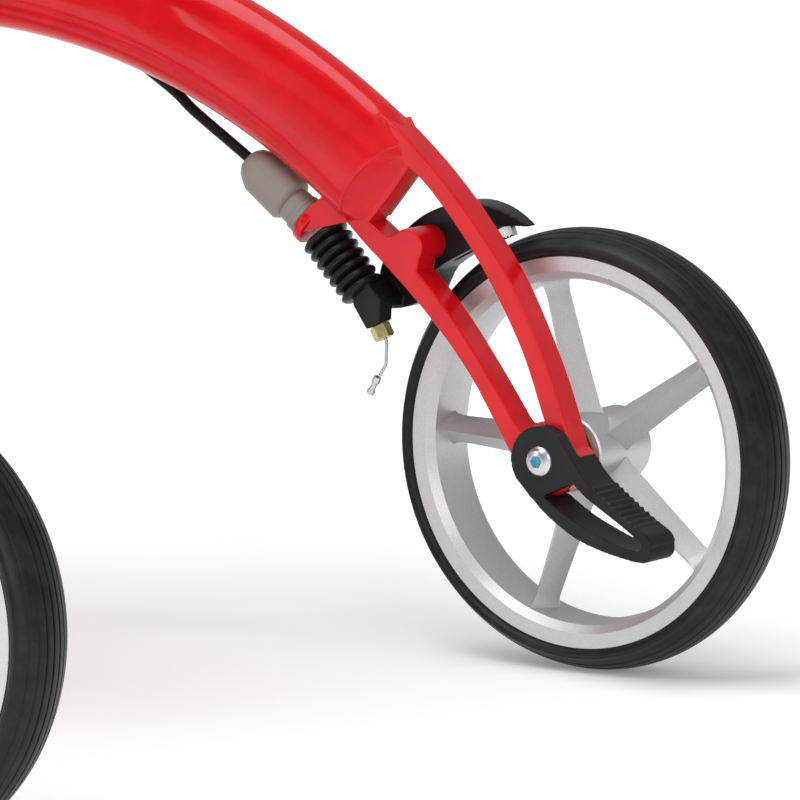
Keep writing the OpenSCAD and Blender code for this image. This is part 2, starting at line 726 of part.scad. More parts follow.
module knee_pad() {
    base = wheel_r + post_top + pad_board + clear;
    h = pad_t - clear;
    color([0.1, 0.1, 0.11]) translate([rear_x + pad_x, 0, base]) hull() {
        linear_extrude(2) pad_outline(pad_l - 16, pad_w - 16, 34);
        translate([0, 0, 14]) linear_extrude(h - 30) pad_outline(pad_l, pad_w, 40);
        translate([0, 0, h - 2]) linear_extrude(2) pad_outline(pad_l - 26, pad_w - 26, 34);
    }
}

// ---------------------------------------------------------------- steering

module front_axle() {
    half = front_track / 2 + hub_len / 2 + 4;
    color([0.72, 0.74, 0.76]) steer_frame() {
        rotate([90, 0, 0]) cylinder(h = 2 * half, r = axle_d / 2, center = true);
        both() {
            translate([0, half - tiny, 0]) rotate([-90, 0, 0]) button_head(8, 3.6);
            difference() {
                translate([0, half - 3.4, 0]) rotate([-90, 0, 0]) cylinder(h = 3.4 - 2 * tiny, r = 9);
                rotate([90, 0, 0]) cylinder(h = 3 * half, r = axle_d / 2, center = true);
            }
            difference() {
                translate([0, beam_half, 0]) rotate([-90, 0, 0]) cylinder(h = front_gap - 0.5, r = 8);
                rotate([90, 0, 0]) cylinder(h = 3 * half, r = axle_d / 2, center = true);
            }
        }
    }
}

module front_fork() {
    color([0.8, 0.06, 0.07]) steer_frame() difference() {
        union() {
            cylinder(h = head_low - 1.5, r = fork_post_r);
            rotate([90, 0, 0]) cylinder(h = 2 * beam_half, r = beam_r, center = true);
            plate([[-6, 0], [6, 0], [6, 70], [-6, 70]], -fork_post_r, fork_post_r);
            for (s = [-1, 1]) mirror([0, s < 0 ? 1 : 0, 0])
                translate([-5, 0, 0]) rotate([90, 0, 90]) linear_extrude(10)
                    polygon([[0, 0], [beam_half - 6, 10], [fork_post_r, 84], [0, 84]]);
        }
        rotate([90, 0, 0]) cylinder(h = 2 * beam_half + 2, r = axle_d / 2, center = true);
        translate([0, 0, steerer_low]) cylinder(h = head_low, r = steerer_d / 2 + play);
        // The beam is a tube between its end blocks
        for (s = [-1, 1]) mirror([0, s < 0 ? 1 : 0, 0]) translate([0, fork_post_r + 4, 0]) rotate([-90, 0, 0])
            cylinder(h = beam_half - fork_post_r - 14, r = beam_r - 4);
    }
}

module steerer_tube() {
    color([0.6, 0.62, 0.64]) steer_frame() translate([0, 0, steerer_low]) difference() {
        cylinder(h = steerer_top - steerer_low, r = steerer_d / 2);
        translate([0, 0, -1]) cylinder(h = steerer_top - steerer_low + 2, r = steerer_d / 2 - steerer_wall);
    }
}

module clip(z, y) {
    translate([0, y, z]) difference() {
        union() {
            translate([column_r - 4, -4.6, -5]) cube([clip_x - column_r + 4, 9.2, 10]);
            translate([clip_x, 0, -5]) cylinder(h = 10, r = cable_r + 2.3);
        }
        translate([clip_x, 0, -6]) cylinder(h = 12, r = cable_r + 2 * clear);
    }
}

module ear(z, h) {
    translate([0, 0, z]) rotate([90, 0, 0]) linear_extrude(h) children();
}

module column_lower() {
    base = lower_base;
    color([0.07, 0.07, 0.075]) steer_frame() difference() {
        union() {
            translate([0, 0, base]) cylinder(h = fold_h - base - 0.2, r = column_r);
            translate([0, 0, base]) cylinder(h = 24, r = column_r + 3);
            // Ears for the fold pin
            for (s = [-1, 1]) plate(concat(
                [[0, fold_h - 30], [0, fold_h - 0.2], [hinge_x, fold_h - 0.2]],
                arc([hinge_x, fold_h], knuckle_r, 90, 240, 10)),
                s < 0 ? -ear_out : ear_in, s < 0 ? -ear_in : ear_out);
            // Ears for the latch lever
            for (s = [-1, 1]) plate([[column_r - 4, fold_h - 44], [column_r + 15, fold_h - 34],
                [column_r + 15, fold_h - 14], [column_r - 4, fold_h - 6]],
                s < 0 ? -14 : 9, s < 0 ? -9 : 14);
            both() clip(lower_clip_z, clip_y);
        }
        translate([0, 0, base - 1]) cylinder(h = steerer_top - base + 1, r = steerer_d / 2);
        translate([0, 0, base]) cylinder(h = fold_h, r = column_r - 7);
        cross_rod([hinge_x, fold_h], pin_r + play, -30, 30);
        cross_rod([column_r + 8, fold_h - 24], 3 + play, -30, 30);
    }
}

module fold_pin() {
    color([0.72, 0.74, 0.76]) steer_frame() {
        cross_rod([hinge_x, fold_h], pin_r, -ear_out - 2, ear_out + 2);
        cross_rod([hinge_x, fold_h], pin_r + 2.5, ear_out, ear_out + 2.6);
        cross_rod([hinge_x, fold_h], pin_r + 2.5, -ear_out - 2.6, -ear_out);
        cross_rod([column_r + 8, fold_h - 24], 3, -14.4, 14.4);
    }
}

module column_upper() {
    color([0.07, 0.07, 0.075]) steer_frame() difference() {
        union() {
            translate([0, 0, fold_h + 0.2]) cylinder(h = column_top - fold_h - 0.2, r = column_r);
            translate([0, 0, fold_h + 0.2]) cylinder(h = 10, r = column_r + 2);
            plate(concat([[0, fold_h + 0.2], [0, fold_h + 34], [hinge_x + 8, fold_h + 12]],
                arc([hinge_x, fold_h], knuckle_r, 70, 330, 14)), -ear_in + clear, ear_in - clear);
            both() clip(upper_clip_z, clip_y);
        }
        translate([0, 0, fold_h + 12]) cylinder(h = column_top - fold_h, r = stem_r + play);
        translate([0, 0, fold_h - 30]) cylinder(h = 30.2, r = column_r + 1);
        cross_rod([hinge_x, fold_h], pin_r + play, -30, 30);
    }
}

module fold_lever() {
    x = column_r + 8;
    z = fold_h - 24;
    color([0.8, 0.06, 0.07]) steer_frame() difference() {
        plate(concat(
            arc([x, z], 7, 180, 360, 8),
            [[x + 7, z + 30], [x + 9, z + 78], [x + 16, z + 96], [x + 11, z + 98], [x + 3, z + 82], [x - 1, z + 34],
             [x - 4.5, z + 12]]), -8.7, 8.7);
        cross_rod([x, z], 3 + play, -20, 20);
    }
}

module height_collar() {
    color([0.07, 0.07, 0.075]) steer_frame() difference() {
        union() {
            translate([0, 0, column_top]) cylinder(h = 26, r = stem_r + 8);
            translate([-(stem_r + 20), -11, column_top]) cube([18, 22, 26]);
        }
        translate([0, 0, column_top - 1]) cylinder(h = 28, r = stem_r + play);
        translate([-(stem_r + 22), -1, column_top - 1]) cube([24, 2, 28]);
        translate([-(stem_r + 14), 0, column_top + 13]) rotate([90, 0, 0]) cylinder(h = 40, r = 3, center = true);
    }
}

skewer_x = -(stem_r + 14);
cam_y = 20;

// Bolt through the split of the collar, with its nut and the eye that the lever turns on
module height_skewer() {
    z = column_top + 13;
    color([0.72, 0.74, 0.76]) steer_frame() difference() {
        union() {
            translate([skewer_x, -15, z]) rotate([-90, 0, 0]) cylinder(h = cam_y + 15, r = 3 - play);
            translate([skewer_x, -17, z]) rotate([-90, 0, 0]) cylinder(h = 5.6, r = 7);
            translate([skewer_x, cam_y, z - 3]) cylinder(h = 6, r = 4.4);
        }
        translate([skewer_x, cam_y, z - 5]) cylinder(h = 10, r = 2 + play);
    }
}

module height_lever() {
    x = skewer_x;
    z = column_top + 13;
    color([0.72, 0.74, 0.76]) steer_frame() {
        difference() {
            union() {
                translate([x, cam_y, z - 6]) cylinder(h = 12, r = 8.4);
                // Handle, lying forward along the collar
                translate([0, 0, z - 5]) linear_extrude(10)
                    polygon([[x, cam_y + 2], [x, cam_y + 8.4], [stem_r - 4, 34.5], [stem_r + 24, 32.5],
                             [stem_r + 24, 29], [stem_r - 4, 30]]);
            }
            translate([x - 12, cam_y - 12, z - 3.3]) cube([16.8, 24, 6.6]);
            translate([x, cam_y, z - 3.3]) cylinder(h = 6.6, r = 5);
        }
        translate([x, cam_y, z - 5.9]) cylinder(h = 11.8, r = 2);
    }
}

module stem_tube() {
    color([0.75, 0.76, 0.78]) steer_frame() difference() {
        union() {
            translate([0, 0, stem_low]) cylinder(h = bar_h - stem_low, r = stem_r);
            translate([0, 0, bar_h]) rotate([90, 0, 0]) cylinder(h = 46, r = bar_r + 6, center = true);
        }
        translate([0, 0, stem_low - 1]) cylinder(h = bar_h - stem_low - 20, r = stem_r - 2.5);
        translate([0, 0, bar_h]) rotate([90, 0, 0]) cylinder(h = 50, r = bar_r, center = true);
    }
}

module handlebar() {
    color([0.75, 0.76, 0.78]) steer_frame() translate([0, 0, bar_h]) rotate([90, 0, 0]) difference() {
        cylinder(h = bar_len - 6, r = bar_r, center = true);
        cylinder(h = bar_len, r = bar_r - 2.2, center = true);
    }
}

module grips() {
    color([0.05, 0.05, 0.05]) steer_frame() translate([0, 0, bar_h]) both()
        translate([0, bar_len / 2, 0]) rotate([90, 0, 0]) rotate_extrude() polygon(concat(
            [[0, 0], [grip_r - 2, 0], [grip_r, 2]],
            [for (i = [0 : 21]) [grip_r - (i % 2 == 0 ? 0 : 0.7), 8 + 4.6 * i]],
            [[grip_r + 2.5, grip_len - 5], [grip_r + 2.5, grip_len], [bar_r, grip_len], [bar_r, 3], [0, 3]]));
}

module lever_brackets() {
    color([0.06, 0.06, 0.06]) steer_frame() translate([0, 0, bar_h]) both() difference() {
        union() {
            translate([0, bracket_y - 9, 0]) rotate([-90, 0, 0]) cylinder(h = 18, r = bar_r + 4.5);
            translate([0, lever_y - 13, -9]) cube([lever_x + 8, 22, 18]);
            translate([lever_x - 1, lever_y - 28, 0]) rotate([-90, 0, 0]) cylinder(h = 18, r = 6);
        }
        translate([0, bracket_y - 40, 0]) rotate([-90, 0, 0]) cylinder(h = 60, r = bar_r + play);
        // Slot for the lever and bore of the housing
        translate([lever_x - 9, lever_y - 8, -6]) cube([30, 30, 12]);
        translate([lever_x - 1, lever_y - 30, 0]) rotate([-90, 0, 0]) cylinder(h = 14, r = cable_r + 2 * clear);
        translate([lever_x, lever_y + 2, -20]) cylinder(h = 40, r = 2.5 + play);
    }
    color([0.72, 0.74, 0.76]) steer_frame() translate([0, 0, bar_h]) both()
        translate([lever_x, lever_y + 2, -9]) cylinder(h = 18, r = 2.5);
}

lever_front = [[8, -2], [14, 14], [19, 40], [22, 70], [24, 104], [22, 109]];
lever_back = [[17, 108], [15.5, 100], [13.5, 70], [10, 40], [3, 16], [-5, 8]];

module brake_lever(s) {
    color([0.06, 0.06, 0.06]) steer_frame() translate([0, 0, bar_h]) mirror([0, s < 0 ? 1 : 0, 0])
        translate([lever_x, lever_y + 2, -5.6]) difference() {
            linear_extrude(11.2) polygon(concat(
                arc([0, 0], 5.5, 180, 330, 6), smooth(lever_front, 3), smooth(lever_back, 3)));
            translate([0, 0, -1]) cylinder(h = 14, r = 2.5 + play);
        }
}

// ---------------------------------------------------------------- upper cables

// From each lever bracket down to the clip near the top of the column
module bar_cables() {
    color([0.03, 0.03, 0.03]) steer_frame() both()
        tube_along(smooth([
            [lever_x - 1, lever_y - 20, bar_h], [lever_x - 1, lever_y - 40, bar_h], [lever_x + 4, 58, bar_h - 10],
            [lever_x + 2, 30, bar_h - 44], [clip_x + 5, 12, bar_h - 92], [clip_x, clip_y, upper_clip_z + 20],
            [clip_x, clip_y, upper_clip_z]], 3), cable_r, 8, [1, 0, 0]);
}

// Down the column and past the side of the fold joint
module column_cables() {
    color([0.03, 0.03, 0.03]) steer_frame() both()
        tube_along(smooth([
            [clip_x, clip_y, upper_clip_z - 0.5], [clip_x, clip_y + 1, upper_clip_z - 24],
            [20, 22, fold_h + 130], [seam_x + 12, seam_y + 3, fold_h + 60], [seam_x, seam_y, fold_h + 10],
            [seam_x, seam_y, fold_h - 12], [seam_x + 14, seam_y + 2, fold_h - 36],
            [18, 22, lower_clip_z + 46], [clip_x, clip_y + 1, lower_clip_z + 18],
            [clip_x, clip_y, lower_clip_z]], 3), cable_r, 8, [1, 0, 0]);
}

// From the clip under the fold joint to the entry on the head lug
module head_cables() {
    entry = head_entry + [rear_x, 0, wheel_r];
    color([0.03, 0.03, 0.03]) both()
        tube_along(smooth([
            steered([clip_x, clip_y, lower_clip_z - 0.5]), steered([clip_x, clip_y, lower_clip_z - 7]),
            steered([clip_x + 3, clip_y + 6, lower_clip_z - 22]),
            steered([26, 30, lower_clip_z - 40]), steered([-10, 42, lower_clip_z - 44]),
            entry + [-6, 4, 40], entry + [0, 0, 22], entry + [0, 0, -8]], 3), cable_r, 8, [1, 0.1, 0]);
}

// ---------------------------------------------------------------- nodes

rear_wheel_place(1) tyre();  // rear_tyre_left
rear_wheel_place(-1) tyre();  // rear_tyre_right
rear_wheel_place(1) rim();  // rear_rim_left
rear_wheel_place(-1) rim();  // rear_rim_right
rear_wheel_place(1) bearings();  // rear_bearings_left
rear_wheel_place(-1) bearings();  // rear_bearings_right
rear_axle_bolt(1);  // rear_axle_bolt_left
rear_axle_bolt(-1);  // rear_axle_bolt_right
rear_fork(1);  // rear_fork_left
rear_fork(-1);  // rear_fork_right
arch_tube(1);  // arch_tube_left
arch_tube(-1);  // arch_tube_right
tip_lever(1);  // tip_lever_left
tip_lever(-1);  // tip_lever_right
brake_arm(1);  // brake_arm_left
brake_arm(-1);  // brake_arm_right
brake_shoe(1);  // brake_shoe_left
brake_shoe(-1);  // brake_shoe_right
brake_pivot_bolt(1);  // brake_pivot_left
brake_pivot_bolt(-1);  // brake_pivot_right
brake_bellows(1);  // brake_bellows_left
brake_bellows(-1);  // brake_bellows_right
cable_adjuster(1);  // cable_adjuster_left
cable_adjuster(-1);  // cable_adjuster_right
cable_end(1);  // cable_end_left
cable_end(-1);  // cable_end_right
cable_housing(1);  // cable_housing_left
cable_housing(-1);  // cable_housing_right
front_wheel_place(1) tyre();  // front_tyre_left
front_wheel_place(-1) tyre();  // front_tyre_right
front_wheel_place(1) rim();  // front_rim_left
front_wheel_place(-1) rim();  // front_rim_right
front_wheel_place(1) bearings();  // front_bearings_left
front_wheel_place(-1) bearings();  // front_bearings_right
front_axle();
front_fork();
head_lug();
headset_bearings();
steerer_tube();
frame_bridge();
column_lower();
fold_pin();
column_upper();
fold_lever();
height_collar();
height_skewer();
height_lever();
stem_tube();
handlebar();
grips();
lever_brackets();
brake_lever(1);  // brake_lever_left
brake_lever(-1);  // brake_lever_right
bar_cables();
column_cables();
head_cables();
knee_post();
knee_plate();
knee_pad();
knee_post_knob();
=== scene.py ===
# %% [markdown]
# # A four-wheeled knee scooter
# The scooter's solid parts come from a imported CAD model, which is the frame of this scene. Blender adds what a
# CAD solid lacks: cast edges, paint, rubber, sewn vinyl and a studio. All lengths are metres, +X is forward,
# +Y is the rider's left and +Z is up, with the origin on the ground midway between the axles.

# %% Load the frame
import json
import math

import bmesh
import bpy
import numpy as np
from mathutils import Matrix, Vector
from mathutils.bvhtree import BVHTree


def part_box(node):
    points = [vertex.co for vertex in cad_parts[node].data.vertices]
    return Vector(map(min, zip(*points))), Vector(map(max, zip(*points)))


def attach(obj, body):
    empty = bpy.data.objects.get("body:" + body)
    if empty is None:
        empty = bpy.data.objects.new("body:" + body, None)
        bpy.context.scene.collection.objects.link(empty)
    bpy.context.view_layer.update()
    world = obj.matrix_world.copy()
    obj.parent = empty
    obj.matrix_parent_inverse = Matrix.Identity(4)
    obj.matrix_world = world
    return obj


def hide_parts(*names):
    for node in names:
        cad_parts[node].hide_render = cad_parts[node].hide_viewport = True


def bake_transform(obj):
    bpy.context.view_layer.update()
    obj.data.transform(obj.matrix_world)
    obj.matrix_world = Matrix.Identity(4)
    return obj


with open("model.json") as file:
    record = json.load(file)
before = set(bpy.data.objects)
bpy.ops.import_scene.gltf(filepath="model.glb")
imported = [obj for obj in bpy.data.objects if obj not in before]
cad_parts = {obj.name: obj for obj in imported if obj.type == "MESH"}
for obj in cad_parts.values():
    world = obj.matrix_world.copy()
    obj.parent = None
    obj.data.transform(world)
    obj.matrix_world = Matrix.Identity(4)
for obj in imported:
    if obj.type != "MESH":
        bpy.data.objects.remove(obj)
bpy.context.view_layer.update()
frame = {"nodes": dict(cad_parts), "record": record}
MM = 0.001

# %% [markdown]
# ## Camera and studio
# A long lens from behind the left rear wheel looks down by nine degrees at the inner side of the right rear
# wheel. The floor is one large pale sheet, so that its far edge never comes into view. A bright, even sky gives
# the soft fill of a light tent, a very broad sun lights the floor evenly, and two panels draw the long highlights
# on the paint.


# %% Camera
def add_camera():
    data = bpy.data.cameras.new("camera")
    data.lens = 493.92
    data.sensor_width = 36.0
    data.clip_end = 200.0
    camera = bpy.data.objects.new("camera", data)
    bpy.context.scene.collection.objects.link(camera)
    right = Vector((-0.81905, -0.57372, 0.0))
    up = Vector((0.08807, -0.12572, 0.98814))
    back = Vector((-0.56692, 0.80934, 0.15350))
    turn = Matrix((right, up, back)).transposed()
    camera.matrix_world = Matrix.Translation((-2.9988, 3.7646, 0.8775)) @ turn.to_4x4()
    bpy.context.scene.camera = camera
    return camera


camera = add_camera()
print("camera at", tuple(round(v, 3) for v in camera.location))


# %% [markdown]
# ## Shader arithmetic
# Procedural finishes are small sums over noise. A wrapped socket lets those sums be written as ordinary
# arithmetic, and one method adds any other node, so each finish below reads as a short recipe.


# %% Shader helpers
class Signal:
    """A node's output. Arithmetic on it adds Math nodes."""

    def __init__(self, shader, socket):
        self.shader = shader
        self.socket = socket

    def maths(self, operation, a, b):
        return self.shader.node("Math", {"operation": operation}, {0: a, 1: b})

    def __add__(self, other):
        return self.maths("ADD", self, other)

    __radd__ = __add__

    def __sub__(self, other):
        return self.maths("SUBTRACT", self, other)

    def __rsub__(self, other):
        return self.maths("SUBTRACT", other, self)

    def __mul__(self, other):
        return self.maths("MULTIPLY", self, other)

    __rmul__ = __mul__


class Shader:
    """One material. node() adds a node, and surface() sets the main shader's sockets."""

    def __init__(self, name):
        self.material = bpy.data.materials.new(name)
        self.material.use_nodes = True
        self.tree = self.material.node_tree
        self.main = self.tree.nodes["Principled BSDF"]
        self.place = self.node("TexCoord", out="Object")

    def node(self, kind, settings=None, inputs=None, out=0):
        made = self.tree.nodes.new("ShaderNode" + kind)
        for key, value in (settings or {}).items():
            if key == "stops":
                ramp = made.color_ramp.elements
                while len(ramp) < len(value):
                    ramp.new(0.5)
                for stop, (at, colour) in zip(ramp, value):
                    stop.position = at
                    stop.color = (*colour, 1.0)
            else:
                setattr(made, key, value)
        for key, value in (inputs or {}).items():
            self.feed(made.inputs[key], value)
        return Signal(self, made.outputs[out])

    def feed(self, socket, value):
        if isinstance(value, Signal):
            self.tree.links.new(value.socket, socket)
        elif socket.type == "RGBA" and len(value) == 3:
            socket.default_value = (*value, 1.0)
        else:
            socket.default_value = value

    def noise(self, scale, detail=2.0, rough=0.5):
        return self.node("TexNoise", {}, {"Vector": self.place, "Scale": scale, "Detail": detail, "Roughness": rough})

    def cells(self, scale):
        return self.node("TexVoronoi", {}, {"Vector": self.place, "Scale": scale}, out="Distance")

    def mix(self, share, a, b):
        return self.node("Mix", {"data_type": "RGBA"}, {0: share, 6: a, 7: b}, out=2)

    def bump(self, height, strength, distance):
        return self.node("Bump", {}, {"Height": height, "Strength": strength, "Distance": distance})

    def band(self, signal, low, high):
        return self.node("MapRange", {}, {0: signal, 1: low, 2: high, 3: 0.0, 4: 1.0})

    def surface(self, **sockets):
        for key, value in sockets.items():
            self.feed(self.main.inputs[key.replace("_", " ")], value)
        return self.material


print("shader helpers ready")

# %% [markdown]
# ## Finishes
# Gloss enamel on cast metal is never quite flat: its skin ripples at about a millimetre, like orange peel, and
# the colour deepens a little where it lies thick. Rubber and moulded plastic are nearly black but catch a soft
# sheen, with a fine grain. Zinc plate is cloudy, and the wheel's silver lacquer has a fine metallic sparkle.


# %% Paint, metal, rubber and plastic
def gloss_paint(name, deep, bright):
    s = Shader(name)
    peel = s.noise(420.0, 2.0)
    broad = s.noise(60.0, 2.0)
    colour = s.mix(s.band(broad, 0.35, 0.68), deep, bright)
    rough = 0.2 + 0.1 * s.noise(150.0, 3.0)
    return s.surface(
        Base_Color=colour, Roughness=rough, Coat_Weight=0.32, Coat_Roughness=0.06, Specular_IOR_Level=0.22,
        Normal=s.bump(peel + 0.6 * broad, 0.22, 0.0005))


def satin(name, dark, light, rough, grain, depth, metal=0.0):
    s = Shader(name)
    fine = s.noise(grain, 4.0, 0.6)
    broad = s.noise(35.0, 3.0)
    colour = s.mix(s.band(broad, 0.3, 0.7), dark, light)
    return s.surface(
        Base_Color=colour, Roughness=rough + 0.12 * fine - 0.06 * broad, Metallic=metal,
        Specular_IOR_Level=0.2, Normal=s.bump(fine, 0.3, depth))


def plated(name, dull, bright, rough, metal=1.0):
    s = Shader(name)
    cloud = s.noise(240.0, 4.0, 0.65)
    colour = s.mix(s.band(cloud, 0.3, 0.7), dull, bright)
    return s.surface(
        Base_Color=colour, Roughness=rough + 0.2 * cloud, Metallic=metal, Normal=s.bump(cloud, 0.12, 0.0002))


def silver_lacquer():
    s = Shader("silver_lacquer")
    flake = s.cells(2600.0)
    broad = s.noise(30.0, 2.0)
    colour = s.mix(s.band(flake, 0.1, 0.7), (0.50, 0.50, 0.51), (0.64, 0.64, 0.65))
    return s.surface(
        Base_Color=colour, Roughness=0.36 + 0.08 * broad, Metallic=0.66, Normal=s.bump(flake, 0.05, 0.0002))


def grained_vinyl():
    s = Shader("grained_vinyl")
    crease = s.cells(620.0)
    fine = s.noise(1500.0, 3.0)
    broad = s.noise(12.0, 2.0)
    colour = s.mix(s.band(broad, 0.3, 0.7), (0.018, 0.018, 0.02), (0.034, 0.034, 0.037))
    return s.surface(
        Base_Color=colour, Roughness=0.42 + 0.16 * fine, Sheen_Weight=0.15,
        Normal=s.bump(crease + 0.25 * fine, 0.45, 0.0007))


def tyre_rubber():
    s = Shader("tyre_rubber")
    dust = s.noise(90.0, 5.0, 0.7)
    fine = s.noise(1800.0, 2.0)
    colour = s.mix(s.band(dust, 0.45, 0.8), (0.009, 0.009, 0.01), (0.024, 0.024, 0.026))
    return s.surface(
        Base_Color=colour, Roughness=0.3 + 0.16 * dust, Specular_IOR_Level=0.22, Normal=s.bump(fine, 0.12, 0.0002))


FINISH = {
    "red_paint": gloss_paint("red_enamel", (0.64, 0.003, 0.008), (0.72, 0.006, 0.012)),
    "black_paint": satin("black_enamel", (0.010, 0.010, 0.011), (0.020, 0.020, 0.022), 0.3, 900.0, 0.0003),
    "tyre_rubber": tyre_rubber(),
    "silver_rim": silver_lacquer(),
    "black_rubber": satin("black_rubber", (0.007, 0.007, 0.008), (0.014, 0.014, 0.015), 0.22, 700.0, 0.0003),
    "black_plastic": satin("black_nylon", (0.010, 0.010, 0.011), (0.018, 0.018, 0.020), 0.36, 1400.0, 0.0003),
    "grey_plastic": satin("grey_nylon", (0.29, 0.265, 0.24), (0.33, 0.30, 0.275), 0.42, 1100.0, 0.0003),
    "zinc": plated("zinc_plate", (0.55, 0.58, 0.62), (0.78, 0.80, 0.83), 0.2),
    "yellow_zinc": plated("yellow_zinc_plate", (0.50, 0.43, 0.17), (0.68, 0.60, 0.30), 0.22),
    "anodised": plated("satin_anodised", (0.60, 0.61, 0.63), (0.68, 0.69, 0.71), 0.28, 0.85),
    "cable_black": satin("cable_black", (0.006, 0.006, 0.007), (0.012, 0.012, 0.013), 0.24, 500.0, 0.0002),
    "pad_cover": grained_vinyl(),
}
steel_wire = plated("steel_wire", (0.42, 0.43, 0.45), (0.66, 0.67, 0.70), 0.22)
blue_steel = plated("blue_steel", (0.03, 0.12, 0.20), (0.14, 0.36, 0.48), 0.16)
print("finishes", len(FINISH) + 2)


# %% Floor, sky and lights
def add_studio():
    s = Shader("pale_floor")
    floor_finish = s.surface(
        Base_Color=s.mix(s.noise(3.0, 2.0), (0.93, 0.93, 0.93), (0.95, 0.95, 0.95)), Roughness=0.75,
        Emission_Color=s.mix(s.noise(2.0, 1.0), (0.97, 0.98, 0.98), (0.98, 0.98, 0.98)), Emission_Strength=0.18)
    mesh = bpy.data.meshes.new("floor")
    half = 40.0
    mesh.from_pydata([(-half, -half, 0), (half, -half, 0), (half, half, 0), (-half, half, 0)], [], [(0, 1, 2, 3)])
    mesh.materials.append(floor_finish)
    floor = bpy.data.objects.new("floor", mesh)
    bpy.context.scene.collection.objects.link(floor)
    world = bpy.data.worlds.new("sky")
    world.use_nodes = True
    world.node_tree.nodes["Background"].inputs["Color"].default_value = (1.0, 1.0, 1.0, 1.0)
    world.node_tree.nodes["Background"].inputs["Strength"].default_value = 0.42
    bpy.context.scene.world = world


def add_panel(name, place, target, size, power):
    data = bpy.data.lights.new(name, "AREA")
    data.shape = "RECTANGLE"
    data.size, data.size_y = size
    data.energy = power
    panel = bpy.data.objects.new(name, data)
    panel.location = place
    panel.rotation_mode = "QUATERNION"
    panel.rotation_quaternion = (Vector(place) - Vector(target)).to_track_quat("Z", "Y")
    bpy.context.scene.collection.objects.link(panel)
    return panel


def add_sun(name, towards, spread, strength):
    """A sun this broad is an overcast sky: it lights the whole floor evenly and leaves only a faint shadow."""
    data = bpy.data.lights.new(name, "SUN")
    data.angle = math.radians(spread)
    data.energy = strength
    sun = bpy.data.objects.new(name, data)
    sun.rotation_mode = "QUATERNION"
    sun.rotation_quaternion = Vector(towards).to_track_quat("Z", "Y")
    bpy.context.scene.collection.objects.link(sun)
    return sun


add_studio()
add_sun("sun_soft", (0.25, 0.45, 1.0), 50.0, 2.05)
add_panel("panel_left", (-2.4, 1.6, 1.3), (-0.25, -0.1, 0.2), (1.0, 1.6), 16.0)
add_panel("panel_front", (1.8, 2.4, 1.2), (-0.1, 0.0, 0.25), (0.9, 1.4), 14.0)
bpy.context.scene.view_settings.view_transform = "Standard"
print("studio ready")

# %% [markdown]
# ## From lists of points to pieces
# Three shapes cover most of the scooter: a lathe turns a profile round an axis, a loft joins rings of points,
# and a sweep carries a circle along a curve. Each returns a plain mesh, and one function turns that mesh into a
# piece that rides on its CAD body and stands for its CAD node.


# %% Mesh builders
def unit(v):
    return v / np.linalg.norm(v)


def add_piece(name, mesh, finish, body=None, node=None, smooth=True, sharp=None):
    mesh.materials.clear()
    mesh.materials.append(finish)
    for face in mesh.polygons:
        face.use_smooth = smooth
    if sharp is not None:
        mesh.set_sharp_from_angle(angle=math.radians(sharp))
    piece = bpy.data.objects.new(name, mesh)
    bpy.context.scene.collection.objects.link(piece)
    if body is not None:
        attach(piece, body)
    if node is not None:
        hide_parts(*([node] if isinstance(node, str) else node))
    return piece


def mesh_of(name, points, faces):
    mesh = bpy.data.meshes.new(name)
    mesh.from_pydata([tuple(p) for p in points], [], faces)
    work = bmesh.new()
    work.from_mesh(mesh)
    bmesh.ops.remove_doubles(work, verts=work.verts, dist=1e-7)
    bmesh.ops.recalc_face_normals(work, faces=work.faces)
    work.to_mesh(mesh)
    work.free()
    return mesh


def ring_quads(count, sides, start=0, closed=False):
    faces = []
    for i in range(count if closed else count - 1):
        a, b = start + i * sides, start + (i + 1) % count * sides
        faces += [(a + k, a + (k + 1) % sides, b + (k + 1) % sides, b + k) for k in range(sides)]
    return faces


def loft(name, rings, capped=True):
    sides = len(rings[0])
    points = [p for ring in rings for p in ring]
    faces = ring_quads(len(rings), sides)
    if capped:
        faces += [tuple(range(sides)), tuple(range(len(points) - sides, len(points)))[::-1]]
    return mesh_of(name, points, faces)


def lathe(name, profile, centre, axis, sides=96, closed=True):
    """profile holds (along the axis, radius); closed joins its last point to its first."""
    centre, axis = np.array(centre, float), unit(np.array(axis, float))
    side = unit(np.cross(axis, (0.0, 0.0, 1.0) if abs(axis[2]) < 0.9 else (1.0, 0.0, 0.0)))
    up = np.cross(axis, side)
    angles = np.arange(sides) * 2 * math.pi / sides
    points = [centre + a * axis + r * (math.cos(t) * side + math.sin(t) * up) for a, r in profile for t in angles]
    return mesh_of(name, points, ring_quads(len(profile), sides, closed=closed))


def sweep(name, path, radius, sides=20):
    path = np.array(path, float)
    heading = np.gradient(path, axis=0)
    heading /= np.linalg.norm(heading, axis=1)[:, None]
    side = unit(np.cross(heading[0], (0.0, 0.02, 1.0) if abs(heading[0][2]) < 0.9 else (1.0, 0.0, 0.02)))
    rings = []
    for p, d in zip(path, heading):
        side = unit(side - d * (side @ d))
        up = np.cross(d, side)
        rings.append([
            p + radius * (math.cos(2 * math.pi * k / sides) * side + math.sin(2 * math.pi * k / sides) * up)
            for k in range(sides)])
    return loft(name, rings)


def smooth_line(points, steps):
    """The curve through the points that the CAD source also uses, with a number of steps to each stretch."""
    p = [np.array(q, float) for q in points]
    p = [2 * p[0] - p[1]] + p + [2 * p[-1] - p[-2]]
    line = []
    for a, b, c, d in zip(p, p[1:], p[2:], p[3:]):
        for k in range(steps):
            t = k / steps
            line.append(0.5 * (2 * b + (c - a) * t + (2 * a - 5 * b + 4 * c - d) * t * t
                               + (3 * b - a - 3 * c + d) * t ** 3))
    return line + [p[-2]]


